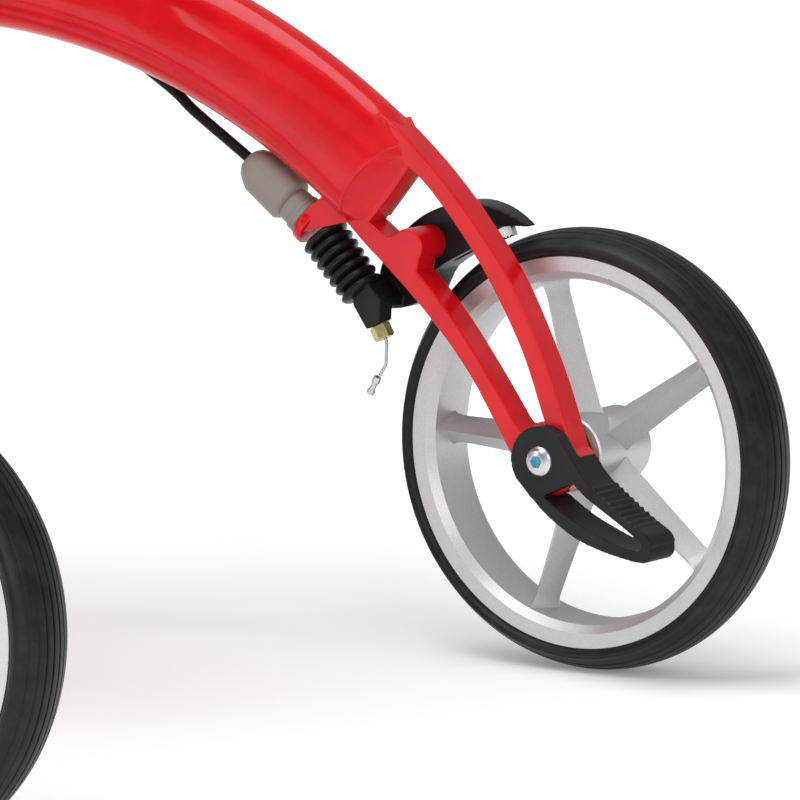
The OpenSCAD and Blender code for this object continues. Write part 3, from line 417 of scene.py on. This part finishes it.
def rounded(profile, radius, steps=3):
    """A closed profile with its corners rounded by small arcs."""
    out, n = [], len(profile)
    for i in range(n):
        a, b, c = (np.array(profile[(i + k) % n], float) for k in (-1, 0, 1))
        reach = min(radius, 0.45 * np.linalg.norm(a - b), 0.45 * np.linalg.norm(c - b))
        start, end = b + unit(a - b) * reach, b + unit(c - b) * reach
        for k in range(steps + 1):
            t = k / steps
            out.append(tuple((1 - t) ** 2 * start + 2 * t * (1 - t) * b + t * t * end))
    return out


print("mesh builders ready")

# %% [markdown]
# ## Cast and moulded copies
# A casting has no knife edges, while a CAD solid is all edges. Copying the solid, rebuilding its skin as small
# even cells and relaxing them rounds every edge by about the same radius, as a mould does. The cell sets the
# radius, so small parts get small cells.


# %% Cast copies
NODE_BODY = {n: b for b, ns in frame["record"]["behaviour"]["bodies"].items() for n in ns}
NODE_FINISH = {p["node"]: FINISH[p["material_slot"]] for p in frame["record"]["subparts"]}


def finished(piece):
    return piece


def cast(node, cell, rounds):
    mesh = frame["nodes"][node].data.copy()
    work = bmesh.new()
    work.from_mesh(mesh)
    bmesh.ops.remove_doubles(work, verts=work.verts, dist=2e-6)
    work.to_mesh(mesh)
    work.free()
    holder = bpy.data.objects.new(node + "_work", mesh)
    bpy.context.scene.collection.objects.link(holder)
    remesh = holder.modifiers.new("cells", "REMESH")
    remesh.mode = "VOXEL"
    remesh.voxel_size = cell
    relax = holder.modifiers.new("relax", "SMOOTH")
    relax.factor = 0.5
    relax.iterations = rounds
    ready = holder.evaluated_get(bpy.context.evaluated_depsgraph_get())
    skin = bpy.data.meshes.new_from_object(ready)
    skin.name = node + "_cast"
    bpy.data.objects.remove(holder)
    piece = add_piece(node + "_cast", skin, NODE_FINISH[node], NODE_BODY[node], node)
    return finished(piece)


for side in ("left", "right"):
    for node, cell, rounds in (
            ("tip_lever_", 0.5, 3), ("brake_arm_", 0.55, 3)):
        piece = cast(node + side, cell * MM, rounds)
        print(piece.name, len(piece.data.polygons))
for node, cell, rounds in (("head_lug", 1.4, 6), ("front_fork", 1.4, 5), ("height_collar", 0.9, 3)):
    piece = cast(node, cell * MM, rounds)
    print(piece.name, len(piece.data.polygons))

# %% [markdown]
# ## Arched side tubes
# Each side of the frame is one hydroformed tube, taller than it is wide and narrower along its top, which curves
# up and forward from the rear fork and sweeps in to the head. A loft of many rings along the same path as the
# CAD tube gives the unbroken highlight that a faceted one can't.


# %% Arched side tubes
REAR = np.array((-280.0, 0.0, 100.0))
ARCH_C = np.array((326.7, -181.5))
FORK_MID = 239.25
SWEEP = [np.array(p) for p in (
    (326.7, 239.25, 198.5), (429.7, 239.25, 198.5), (434.0, 144.0, 203.0), (500.0, 32.0, 203.0))]


TUBE_END = 0.95


def arch_point(i):
    if i <= 12:
        a = math.radians(35.5 * (1 - i / 12))
        return np.array((ARCH_C[0] - 380 * math.sin(a), FORK_MID, ARCH_C[1] + 380 * math.cos(a)))
    t = (i - 12) / 18
    a, b, c, d = SWEEP
    return a * (1 - t) ** 3 + 3 * b * t * (1 - t) ** 2 + 3 * c * t * t * (1 - t) + d * t ** 3


def arch_ring(i, mirror, sides=72, share=1.0):
    """A ring of the tube. Behind i = 0 it becomes the sleeve on the casting, whose end is cut on the slant."""
    k = max(0.0, i / 30)
    ring = []
    for s in range(sides):
        a = 2 * math.pi * s / sides
        q = math.copysign(abs(math.sin(a)) ** 0.8, math.sin(a))
        p = math.copysign(abs(math.cos(a)) ** 0.8, math.cos(a)) * (1 - (0.16 - 0.1 * k) * (1 + q))
        at = i if i > 0 else i * (0.50 + 0.14 * q + 0.28 * q * q)
        d = unit(arch_point(min(30, at + 0.2)) - arch_point(at - 0.2))
        across = unit(np.cross((0, 0, 1), d))
        up = np.cross(d, across)
        tall = 1 + 0.13 * min(0.0, i) * max(0.0, q)
        v = arch_point(at) + share * (across * p * (34 - 4 * k) / 2 + up * q * tall * (55 - 9 * k) / 2) + REAR
        ring.append(v * (1, mirror, 1) * MM)
    return ring


for side, mirror in (("left", 1), ("right", -1)):
    rings = [arch_ring(-TUBE_END, mirror, share=0.90), arch_ring(-TUBE_END - 0.03, mirror, share=0.955),
             arch_ring(-TUBE_END, mirror, share=0.985)]
    rings += [arch_ring(i, mirror) for i in np.linspace(-0.88, 0, 10)]
    rings += [arch_ring(30 * i / 120, mirror) for i in range(1, 121)]
    node = "arch_tube_" + side
    piece = add_piece(node + "_tube", loft(node + "_tube", rings), FINISH["red_paint"], "frame", node)
    print(finished(piece).name, len(piece.data.polygons))

# %% [markdown]
# ## Rear forks
# The fork is one flat casting with two legs and a window between them, joined to the arch by a faceted crown. A
# filled two-dimensional curve suits it: the outline and the window are two closed lines, the extrusion gives the
# thickness, and the curve's bevel rounds every edge by the same small radius. The crown is the convex skin round
# the tube's end and the top of the plate.


# %% Rear forks
def rear_points(points, mirror, y):
    return [side_point(x, z, mirror, y) for x, z in points]


def side_point(x, z, mirror, y=FORK_MID):
    return (np.array((x, y * mirror, z)) + REAR) * MM


def arc(centre, r, start, end, steps):
    turns = [math.radians(start + (end - start) * i / steps) for i in range(steps + 1)]
    return [(centre[0] + r * math.cos(t), centre[1] + r * math.sin(t)) for t in turns]


def flat_casting(name, outlines, low, high, mirror, bevel=0.9):
    """outlines holds closed lines in side view, in millimetres; the first is the outside and the rest are holes."""
    curve = bpy.data.curves.new(name, "CURVE")
    curve.dimensions, curve.fill_mode = "2D", "BOTH"
    curve.extrude = ((high - low) / 2 - bevel) * MM
    curve.bevel_depth, curve.bevel_resolution, curve.offset = bevel * MM, 3, -bevel * MM
    for outline in outlines:
        line = curve.splines.new("POLY")
        line.points.add(len(outline) - 1)
        for point, (x, z) in zip(line.points, outline):
            point.co = (x * MM, z * MM, 0, 1)
        line.use_cyclic_u = True
    holder = bpy.data.objects.new(name + "_line", curve)
    bpy.context.scene.collection.objects.link(holder)
    flat = bpy.data.meshes.new_from_object(holder.evaluated_get(bpy.context.evaluated_depsgraph_get()))
    points = np.array([v.co for v in flat.vertices], float)
    faces = [tuple(f.vertices) for f in flat.polygons]
    bpy.data.objects.remove(holder)
    placed = [(x - 0.280, mirror * ((low + high) / 2 * MM + y), z + 0.100) for x, z, y in points]
    return mesh_of(name, placed, faces)


def hull(name, points):
    work = bmesh.new()
    for p in points:
        work.verts.new(tuple(p))
    made = bmesh.ops.convex_hull(work, input=work.verts)
    loose = [e for e in made["geom_interior"] if isinstance(e, bmesh.types.BMVert)]
    bmesh.ops.delete(work, geom=loose, context="VERTS")
    mesh = bpy.data.meshes.new(name)
    work.to_mesh(mesh)
    work.free()
    return mesh


def weigh(piece):
    """Big flat faces keep their own normals, so that only the rounded edges shade from one to the next."""
    piece.modifiers.new("weighted", "WEIGHTED_NORMAL").keep_sharp = True
    return piece


FRONT_EDGE = [(20.8, 1), (30, 15.3), (40, 30.4), (50, 42.8), (60, 53.6), (70, 63.4), (80, 72.2), (90, 80.6),
              (100, 88.6), (110, 97.6)]
RIDGE = [(92, 149.0), (80, 140.6), (60, 123.5), (40, 102.5), (20, 76.8), (0, 38.3), (-12.5, 5)]
INNER_FRONT = [(72, 78.6), (60, 67.2), (50, 56.3), (40, 44), (30, 30.9), (18.5, 15)]
INNER_REAR = [(76.2, 125), (66.2, 117.7), (50, 100.5), (33.6, 79.3), (14.9, 48.1), (2.1, 15.9)]
PIVOT = (77, 89.5)
FORK_IN, FORK_OUT, CROWN_OUT = 232.0, 246.5, 251.0
CABLE_R = 2.5
LUG, ANCHOR = np.array((132.0, 93.5)), np.array((105.5, 58.5))
ALONG = np.array((math.cos(math.radians(37)), math.sin(math.radians(37))))
PULL = np.array((math.cos(math.radians(60)), math.sin(math.radians(60))))


def add_fork(side, mirror):
    node = "rear_fork_" + side
    outside = smooth_line(FRONT_EDGE, 6) + [(117, 110), (104, 145)] + smooth_line(RIDGE, 6) + arc(
        (0, 0), 16.5, 171.6, 349.5, 24)
    window = smooth_line(INNER_FRONT, 6) + arc((0, 0), 17.0, 38, 80, 6) + smooth_line(INNER_REAR[::-1], 6)
    window += [(86, 112.5), (98, 99), (88.6, 92.6)] + arc(PIVOT, 8, 40, 220, 20)
    plate = flat_casting(node + "_plate", [outside, window], FORK_IN, FORK_OUT, mirror)
    piece = weigh(add_piece(node + "_plate", plate, FINISH["red_paint"], "frame", node, sharp=35))
    finished(piece)
    top = [(109, 98), (99, 100), (77.4, 126), (88, 145.6)]
    points = arch_ring(-0.9, mirror, share=0.97) + rear_points(top, mirror, FORK_IN + 0.2)
    points += rear_points(top, mirror, CROWN_OUT)
    crown = add_piece(node + "_crown", hull(node + "_crown", points), FINISH["red_paint"], "frame", sharp=12)
    edge = crown.modifiers.new("edge", "BEVEL")
    edge.width, edge.segments, edge.limit_method, edge.angle_limit = 0.9 * MM, 3, "ANGLE", math.radians(25)
    finished(weigh(crown))
    boss = rounded([(FORK_MID, 0.1), (FORK_MID, 8), (251.7, 8), (251.7, 0.1)], 0.8)
    boss = lathe(node + "_boss", [((a - FORK_IN) * MM, r * MM) for a, r in boss],
                 side_point(*PIVOT, mirror, FORK_IN), (0, mirror, 0), 64)
    finished(add_piece(node + "_boss", boss, FINISH["red_paint"], "frame", sharp=35))
    rim = rounded([(0, 0.1), (0, 10.5), (5, 10.5), (5, 0.1)], 1.2)
    centre = side_point(*LUG, mirror)
    way = side_point(*(LUG + ALONG), mirror) - centre
    lug = lathe(node + "_lug", [(a * MM, r * MM) for a, r in rim], centre, way, 64)
    finished(add_piece(node + "_lug", lug, FINISH["red_paint"], "frame", sharp=35))
    normal = np.array((-ALONG[1], ALONG[0]))
    web = [LUG + ALONG * a + normal * r for a, r in ((0.6, -3), (4.4, -3), (4.4, 9.6), (0.6, 9.6))]
    points = rear_points(web, mirror, FORK_MID - 8.6) + rear_points(web, mirror, FORK_MID + 8.6)
    root = [(110, 98), (122, 110), (114, 114), (104, 100)]
    points += rear_points(root, mirror, FORK_IN + 0.8) + rear_points(root, mirror, FORK_OUT - 0.8)
    web = add_piece(node + "_web", hull(node + "_web", points), FINISH["red_paint"], "frame", sharp=12)
    edge = web.modifiers.new("edge", "BEVEL")
    edge.width, edge.segments, edge.limit_method, edge.angle_limit = 1.6 * MM, 4, "ANGLE", math.radians(25)
    finished(weigh(web))
    return piece


for side, mirror in (("left", 1), ("right", -1)):
    print(add_fork(side, mirror).name)

# %% [markdown]
# ## Wheels
# The tyre is solid rubber with fine grooves round its crown and a smooth, shiny sidewall. The rim is one silver
# moulding: a flat ring, a barrel with a crease at its middle, and five spokes like roof ridges that flare where
# they meet hub and rim. Lathes make the round parts, and each spoke is a loft of four-sided rings.


# %% Wheels
def tyre_profile():
    crown = 24.5
    line = [(-15.4, 84.7), (-15.9, 89.5), (-17.2, 90.3), (-17.9, 91.6), (-18.0, 93.0)]
    grooves = (-12.6, -8.4, -4.2, 0.0, 4.2, 8.4, 12.6)
    for y in np.linspace(-16.2, 16.2, 109):
        depth = max(0.0, 1 - min(abs(y - g) for g in grooves) / 0.62)
        line.append((y, 100 - crown + math.sqrt(crown ** 2 - y * y) - 0.85 * min(1.0, 1.7 * depth)))
    return [(a * MM, r * MM) for a, r in line + [(-a, r) for a, r in line[4::-1]]]


RIM_PROFILE = [(-15.8, 89.2), (-15.8, 81.9), (-14.9, 80.9), (-12.4, 78.3), (0.0, 76.7), (12.4, 78.3),
               (14.9, 80.9), (15.8, 81.9), (15.8, 89.2), (14.0, 84.3), (-14.0, 84.3)]
HUB_PROFILE = [(-20.5, 13.0), (-20.5, 16.5), (-19.7, 17.3), (19.7, 17.3), (20.5, 16.5), (20.5, 13.0),
               (13.0, 13.0), (12.6, 7.0), (-12.6, 7.0), (-13.0, 13.0)]


def spoke_rings(centre, out, across):
    """out runs from hub to rim and across lies in the wheel's plane; the ridge stands along Y."""
    rings = []
    for r, half, ridge in ((10, 9.4, 12.2), (15.5, 9.2, 12.0), (18.5, 8.5, 11.6), (24, 8.2, 11.3), (40, 7.4, 10.6),
                           (60, 6.5, 9.8), (71, 6.2, 9.4), (75, 6.9, 10.2), (77.4, 8.3, 11.6), (78.6, 10.0, 12.6)):
        rings.append([centre + out * r * MM + v * MM for v in (
            across * half, np.array((0, ridge, 0)), -across * half, np.array((0, -ridge, 0)))])
    return rings


def add_wheel(kind, side, centre, turn, lean):
    body = f"wheel_{kind}_{side}"
    tyre, rim = f"{kind}_tyre_{side}", f"{kind}_rim_{side}"
    axis = (0, 1, 0)
    piece = add_piece(tyre + "_rubber", lathe(tyre, tyre_profile(), centre, axis, 192), FINISH["tyre_rubber"],
                      body, tyre, sharp=35)
    finished(piece)
    silver = FINISH["silver_rim"]
    rim_mesh = lathe(rim, [(a * MM, r * MM) for a, r in RIM_PROFILE], centre, axis, 192)
    piece = finished(add_piece(rim + "_ring", rim_mesh, silver, body, rim, sharp=22))
    hub_mesh = lathe(rim, [(a * MM, r * MM) for a, r in HUB_PROFILE], centre, axis, 96)
    finished(add_piece(rim + "_hub", hub_mesh, silver, body, sharp=30))
    for k in range(5):
        a = math.radians(turn + 72 * k + lean)
        out = np.array((math.sin(a), 0, math.cos(a)))
        across = np.array((math.cos(a), 0, -math.sin(a)))
        mesh = loft(f"{rim}_spoke_{k}", spoke_rings(np.array(centre), out, across))
        finished(add_piece(f"{rim}_spoke_{k}", mesh, silver, body, sharp=20))
    return piece


for side, mirror in (("left", 1), ("right", -1)):
    add_wheel("rear", side, (-0.280, 0.269 * mirror, 0.100), 16, 0)
    add_wheel("front", side, (0.280, 0.110 * mirror, 0.100), 0, -8)
print("wheels", 4)

# %% [markdown]
# ## Brake details
# A rubber bellows with round folds keeps grit out of the brake cable between its lug and the anchor on the brake
# arm. Below the anchor a yellow nut clamps the inner wire, whose short tail ends in a crimped ferrule.


# %% Bellows, housings and wire ends
def add_bellows(side, mirror):
    top, foot = LUG + (-3.4, -2.6), ANCHOR + (-0.6, 6.4)
    length = np.linalg.norm(foot - top)
    profile = [(0.2, 1.3)]
    folds, fine = 7, 10
    step = (length - 1) / folds
    for i in range(folds):
        at, big, small = 0.4 + step * i, 11.4 - 0.14 * i, 7.8 - 0.12 * i
        for k in range(fine):
            swell = math.sin(math.pi * k / fine) ** 0.7
            profile.append((at + step * k / fine, small + (big - small) * swell))
    profile += [(length - 0.6, 6.6), (length - 0.4, 1.3)]
    a, b = side_point(*top, mirror), side_point(*foot, mirror)
    node = "brake_bellows_" + side
    mesh = lathe(node + "_folds", [(p * MM, r * MM) for p, r in profile], a, b - a, 72)
    return finished(add_piece(node + "_folds", mesh, FINISH["black_rubber"], "frame", node, sharp=60))


def add_wire_end(side, mirror):
    nut = ANCHOR + (-8.105, -6.946)
    node, body = "cable_end_" + side, "brake_" + side
    tail = smooth_line([nut - 1 * PULL, nut - 8 * PULL, nut + (-4, -13), nut + (-3.6, -18), nut + (-0.6, -23)], 8)
    wire = sweep(node + "_wire", [side_point(*p, mirror) for p in tail], 0.75 * MM, 12)
    piece = add_piece(node + "_wire", wire, steel_wire, body, node)
    hexagon = lathe(node + "_nut", [(a * MM, r * MM) for a, r in (
        (-0.2, 1.0), (-0.2, 3.9), (-0.7, 4.8), (-6.3, 4.8), (-6.9, 3.9), (-6.9, 1.0))],
        side_point(*nut, mirror), side_point(*(nut + PULL), mirror) - side_point(*nut, mirror), 6)
    finished(add_piece(node + "_nut", hexagon, FINISH["yellow_zinc"], body, smooth=False))
    start = nut + (5, -32)
    end = start + 9.6 * np.array((math.cos(math.radians(119)), math.sin(math.radians(119))))
    crimp = lathe(node + "_crimp", [(a * MM, r * MM) for a, r in (
        (0, 0.6), (0.1, 1.6), (1.6, 1.9), (3.0, 1.3), (5.0, 1.3), (6.6, 1.9), (9.2, 1.7), (9.5, 0.6))],
        side_point(*start, mirror), side_point(*end, mirror) - side_point(*start, mirror), 20)
    add_piece(node + "_crimp", crimp, FINISH["zinc"], body, sharp=40)
    return piece


def add_adjuster(side, mirror):
    """A barrel with chamfered ends, a groove, and a ribbed neck that screws into the lug."""
    node = "cable_adjuster_" + side
    profile = [(5.1, 2.6), (5.1, 8.6), (5.9, 9.3), (7.6, 9.3), (8.0, 8.9), (8.6, 9.3), (9.6, 9.3), (10.0, 8.6),
               (15.4, 8.4), (15.7, 7.7), (16.4, 7.7), (16.7, 8.4), (17.4, 10.2), (18.4, 11.0), (36.5, 11.0),
               (38.6, 10.4), (43.4, 8.0), (45.3, 6.0), (45.5, 2.6)]
    centre = side_point(*LUG, mirror)
    way = side_point(*(LUG + ALONG), mirror) - centre
    mesh = lathe(node + "_barrel", [(a * MM, r * MM) for a, r in profile], centre, way, 72)
    piece = add_piece(node + "_barrel", mesh, FINISH["grey_plastic"], "frame", node, sharp=50)
    return finished(piece)


def add_housing(side, mirror):
    tail = LUG + ALONG * (5 + 11 + 29.5 - 11.5)
    low = [(*p,) for p in (tail, tail + 14 * ALONG, np.array((217, 153)) - (18, 12.6), (217, 153))]
    points = [np.array((p[0], FORK_MID, p[1])) for p in low]
    points += [arch_point(i) + (0, 0, -14 if i < 10 else -6) for i in range(9, 28, 3)] + [arch_point(29) + (0, 0, -2)]
    path = [(p * (1, mirror, 1) + REAR) * MM for p in smooth_line(points, 8)]
    node = "cable_housing_" + side
    sleeve = sweep(node, path, CABLE_R * MM)
    return finished(add_piece(node + "_sleeve", sleeve, FINISH["cable_black"], "frame", node))


for side, mirror in (("left", 1), ("right", -1)):
    print(add_bellows(side, mirror).name, add_wire_end(side, mirror).name, add_housing(side, mirror).name)
    print(add_adjuster(side, mirror).name)
    socket = lathe("socket_" + side, [(-0.0003, 0.0002), (-0.0003, 0.0018), (0.0002, 0.0030), (0.0009, 0.0031),
                                      (0.0009, 0.0002)],
                   side_point(0, 0, mirror, 222.9), (0, -mirror, 0), 6)
    add_piece("axle_bolt_socket_" + side, socket, blue_steel, "frame", smooth=False)

# %% [markdown]
# ## Cables on the column
# The brake cables run from the levers down the column, past the side of the fold joint and into the head lug. Clips
# hold them, and each run crosses one joint: the first the bar's slide, the second the column's fold and the third
# the fork's steering. Each run is swept once as a fixed tube.


# %% Cables on the column
LEAN = math.radians(8)
BAR_H, FOLD_H, UPPER_CLIP, LOWER_CLIP, LEVER_X, LEVER_Y = 812.0, 444.0, 660.0, 313.015, 34.0, 112.0
CLIP_X, CLIP_Y, SEAM_X, SEAM_Y = 24.0, 8.0, -25.0, 25.0
ENTRY = np.array((228.0, 28.0, 311.0))


def steered(x, y, z):
    """A point of the leaning steering axis, whose own z runs along the column."""
    return np.array((280 + x * math.cos(LEAN) - z * math.sin(LEAN), y, 100 + x * math.sin(LEAN) + z * math.cos(LEAN)))


RUNS = {
    "bar_cables": ("column", "bar", [
        steered(*q) for q in (
            (LEVER_X - 1, LEVER_Y - 20, BAR_H), (LEVER_X - 1, LEVER_Y - 40, BAR_H), (LEVER_X + 4, 58, BAR_H - 10),
            (LEVER_X + 2, 30, BAR_H - 44), (CLIP_X + 5, 12, BAR_H - 92), (CLIP_X, CLIP_Y, UPPER_CLIP + 20),
            (CLIP_X, CLIP_Y, UPPER_CLIP))]),
    "column_cables": ("column", "steering", [
        steered(*q) for q in (
            (CLIP_X, CLIP_Y, UPPER_CLIP - 0.5), (CLIP_X, CLIP_Y + 1, UPPER_CLIP - 24), (20, 22, FOLD_H + 130),
            (SEAM_X + 12, SEAM_Y + 3, FOLD_H + 60), (SEAM_X, SEAM_Y, FOLD_H + 10), (SEAM_X, SEAM_Y, FOLD_H - 12),
            (SEAM_X + 14, SEAM_Y + 2, FOLD_H - 36), (18, 22, LOWER_CLIP + 46), (CLIP_X, CLIP_Y + 1, LOWER_CLIP + 18),
            (CLIP_X, CLIP_Y, LOWER_CLIP))]),
    "head_cables": ("steering", "frame", [
        steered(*q) for q in (
            (CLIP_X, CLIP_Y, LOWER_CLIP - 0.5), (CLIP_X, CLIP_Y, LOWER_CLIP - 7),
            (CLIP_X + 3, CLIP_Y + 6, LOWER_CLIP - 22),
            (26, 30, LOWER_CLIP - 40), (-10, 42, LOWER_CLIP - 44))] + [
        ENTRY + (-6, 4, 40), ENTRY + (0, 0, 22), ENTRY + (0, 0, -8)]),
}
for node, (above, below, points) in RUNS.items():
    line = np.array(smooth_line(points, 8)) * MM
    length = np.linalg.norm(np.diff(line, axis=0), axis=1).sum()
    for side, mirror in (("left", 1), ("right", -1)):
        route = line * (1, mirror, 1)
        cable = sweep(f"{node}_{side}", route, CABLE_R * MM, 16)
        piece = finished(add_piece(f"{node}_{side}", cable, FINISH["cable_black"], node=node))
        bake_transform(piece)
    print(node, "each", round(float(length), 3), "m")

# %% [markdown]
# ## Knee cushion
# The cushion is a sewn cover over foam. The CAD block, drawn in a little, is blown up by a cloth simulation until
# the sides bulge between the edges, while the underside stays flat on its board. The piping is sewn on afterwards:
# a ray from outside finds the swollen cover all the way round at two heights.

# %% Knee cushion
PAD_SHRINK, PAD_SWELL, PAD_CELL, PAD_BASE = (0.965, 0.94, 0.90), 0.012, 0.005, 0.008
PAD_RATIO = 1.9  # length over width
PIPING_R, PIPING_SUNK, PIPING_POINTS = 0.0019, 0.0004, 180


def cushion_points():
    solid = frame["nodes"]["knee_pad"]
    low, high = (np.array(corner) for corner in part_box("knee_pad"))
    centre = np.array(((low[0] + high[0]) / 2, (low[1] + high[1]) / 2, low[2]))
    pad = bpy.data.objects.new("knee_cushion", solid.data.copy())
    bpy.context.scene.collection.objects.link(pad)
    for v in pad.data.vertices:
        v.co = centre + (np.array(solid.matrix_world @ v.co) - centre) * PAD_SHRINK
    cells = pad.modifiers.new("cells", "REMESH")
    cells.mode, cells.voxel_size = "VOXEL", PAD_CELL
    pad.data = applied(pad)
    start = np.array([v.co for v in pad.data.vertices], float)
    group = pad.vertex_groups.new(name="board")
    group.add([v.index for v in pad.data.vertices if v.co.z < low[2] + PAD_BASE], 1.0, "REPLACE")
    cloth = pad.modifiers.new("cover", "CLOTH")
    cloth.settings.vertex_group_mass = "board"
    cloth.settings.use_pressure = True
    cloth.settings.uniform_pressure_force = 4.0
    cloth.settings.effector_weights.gravity = 0.0
    for step in range(1, 21):
        bpy.context.scene.frame_set(step)
    pad.data = applied(pad)
    bpy.context.scene.frame_set(1)
    moved = np.array([v.co for v in pad.data.vertices], float)
    reach = moved - start
    far = np.linalg.norm(reach, axis=1)
    moved = start + reach * np.minimum(1.0, PAD_SWELL / np.maximum(far, 1e-9))[:, None]
    moved = np.clip(moved, low + 0.0002, high - (0.0002, 0.0002, 0.0))
    pad.data.vertices.foreach_set("co", moved.ravel())
    return pad, low, high


def applied(piece):
    """The piece's mesh with its modifiers applied; none is left on the piece."""
    made = bpy.data.meshes.new_from_object(piece.evaluated_get(bpy.context.evaluated_depsgraph_get()))
    piece.modifiers.clear()
    return made


def add_cushion():
    pad, low, high = cushion_points()
    pad.data.materials.clear()
    pad.data.materials.append(FINISH["pad_cover"])
    for face in pad.data.polygons:
        face.use_smooth = True
    pad.modifiers.new("fine", "SUBSURF").levels = 1
    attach(pad, "knee_rest")
    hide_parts("knee_pad")
    finished(pad)
    tree = BVHTree.FromObject(pad, bpy.context.evaluated_depsgraph_get())
    centre = Vector(((low[0] + high[0]) / 2, 0.0, 0.0))
    for name, share in (("lower", 0.26), ("upper", 0.76)):
        centre.z = low[2] + share * (high[2] - low[2])
        line = []
        for k in range(PIPING_POINTS):
            turn = 2 * math.pi * k / PIPING_POINTS
            way = Vector((math.cos(turn) * PAD_RATIO, math.sin(turn), 0.0)).normalized()
            hit = tree.ray_cast(centre + way, -way)[0]
            line.append(np.array(hit) - np.array(way) * PIPING_SUNK)
        line = (np.array(line) + np.roll(line, 1, axis=0) + np.roll(line, -1, axis=0)) / 3
        line = np.vstack([line, line[:1]])
        piping = add_piece(f"knee_piping_{name}", sweep(f"knee_piping_{name}", line, PIPING_R, 12), FINISH["pad_cover"],
                           "knee_rest")
    return pad


print(add_cushion().name, len(bpy.data.objects["knee_cushion"].data.vertices), "points")

# %% [markdown]
# ## Everything that stays as CAD
# Turned, plated and extruded parts already have their true shape, so they keep their CAD solid and only get a
# finish.

# %% Finishes on the CAD nodes
kept = [n for n, o in frame["nodes"].items() if not o.hide_render]
for name in kept:
    node = frame["nodes"][name]
    node.data.materials.clear()
    node.data.materials.append(NODE_FINISH[name])
print("CAD nodes shown", len(kept))
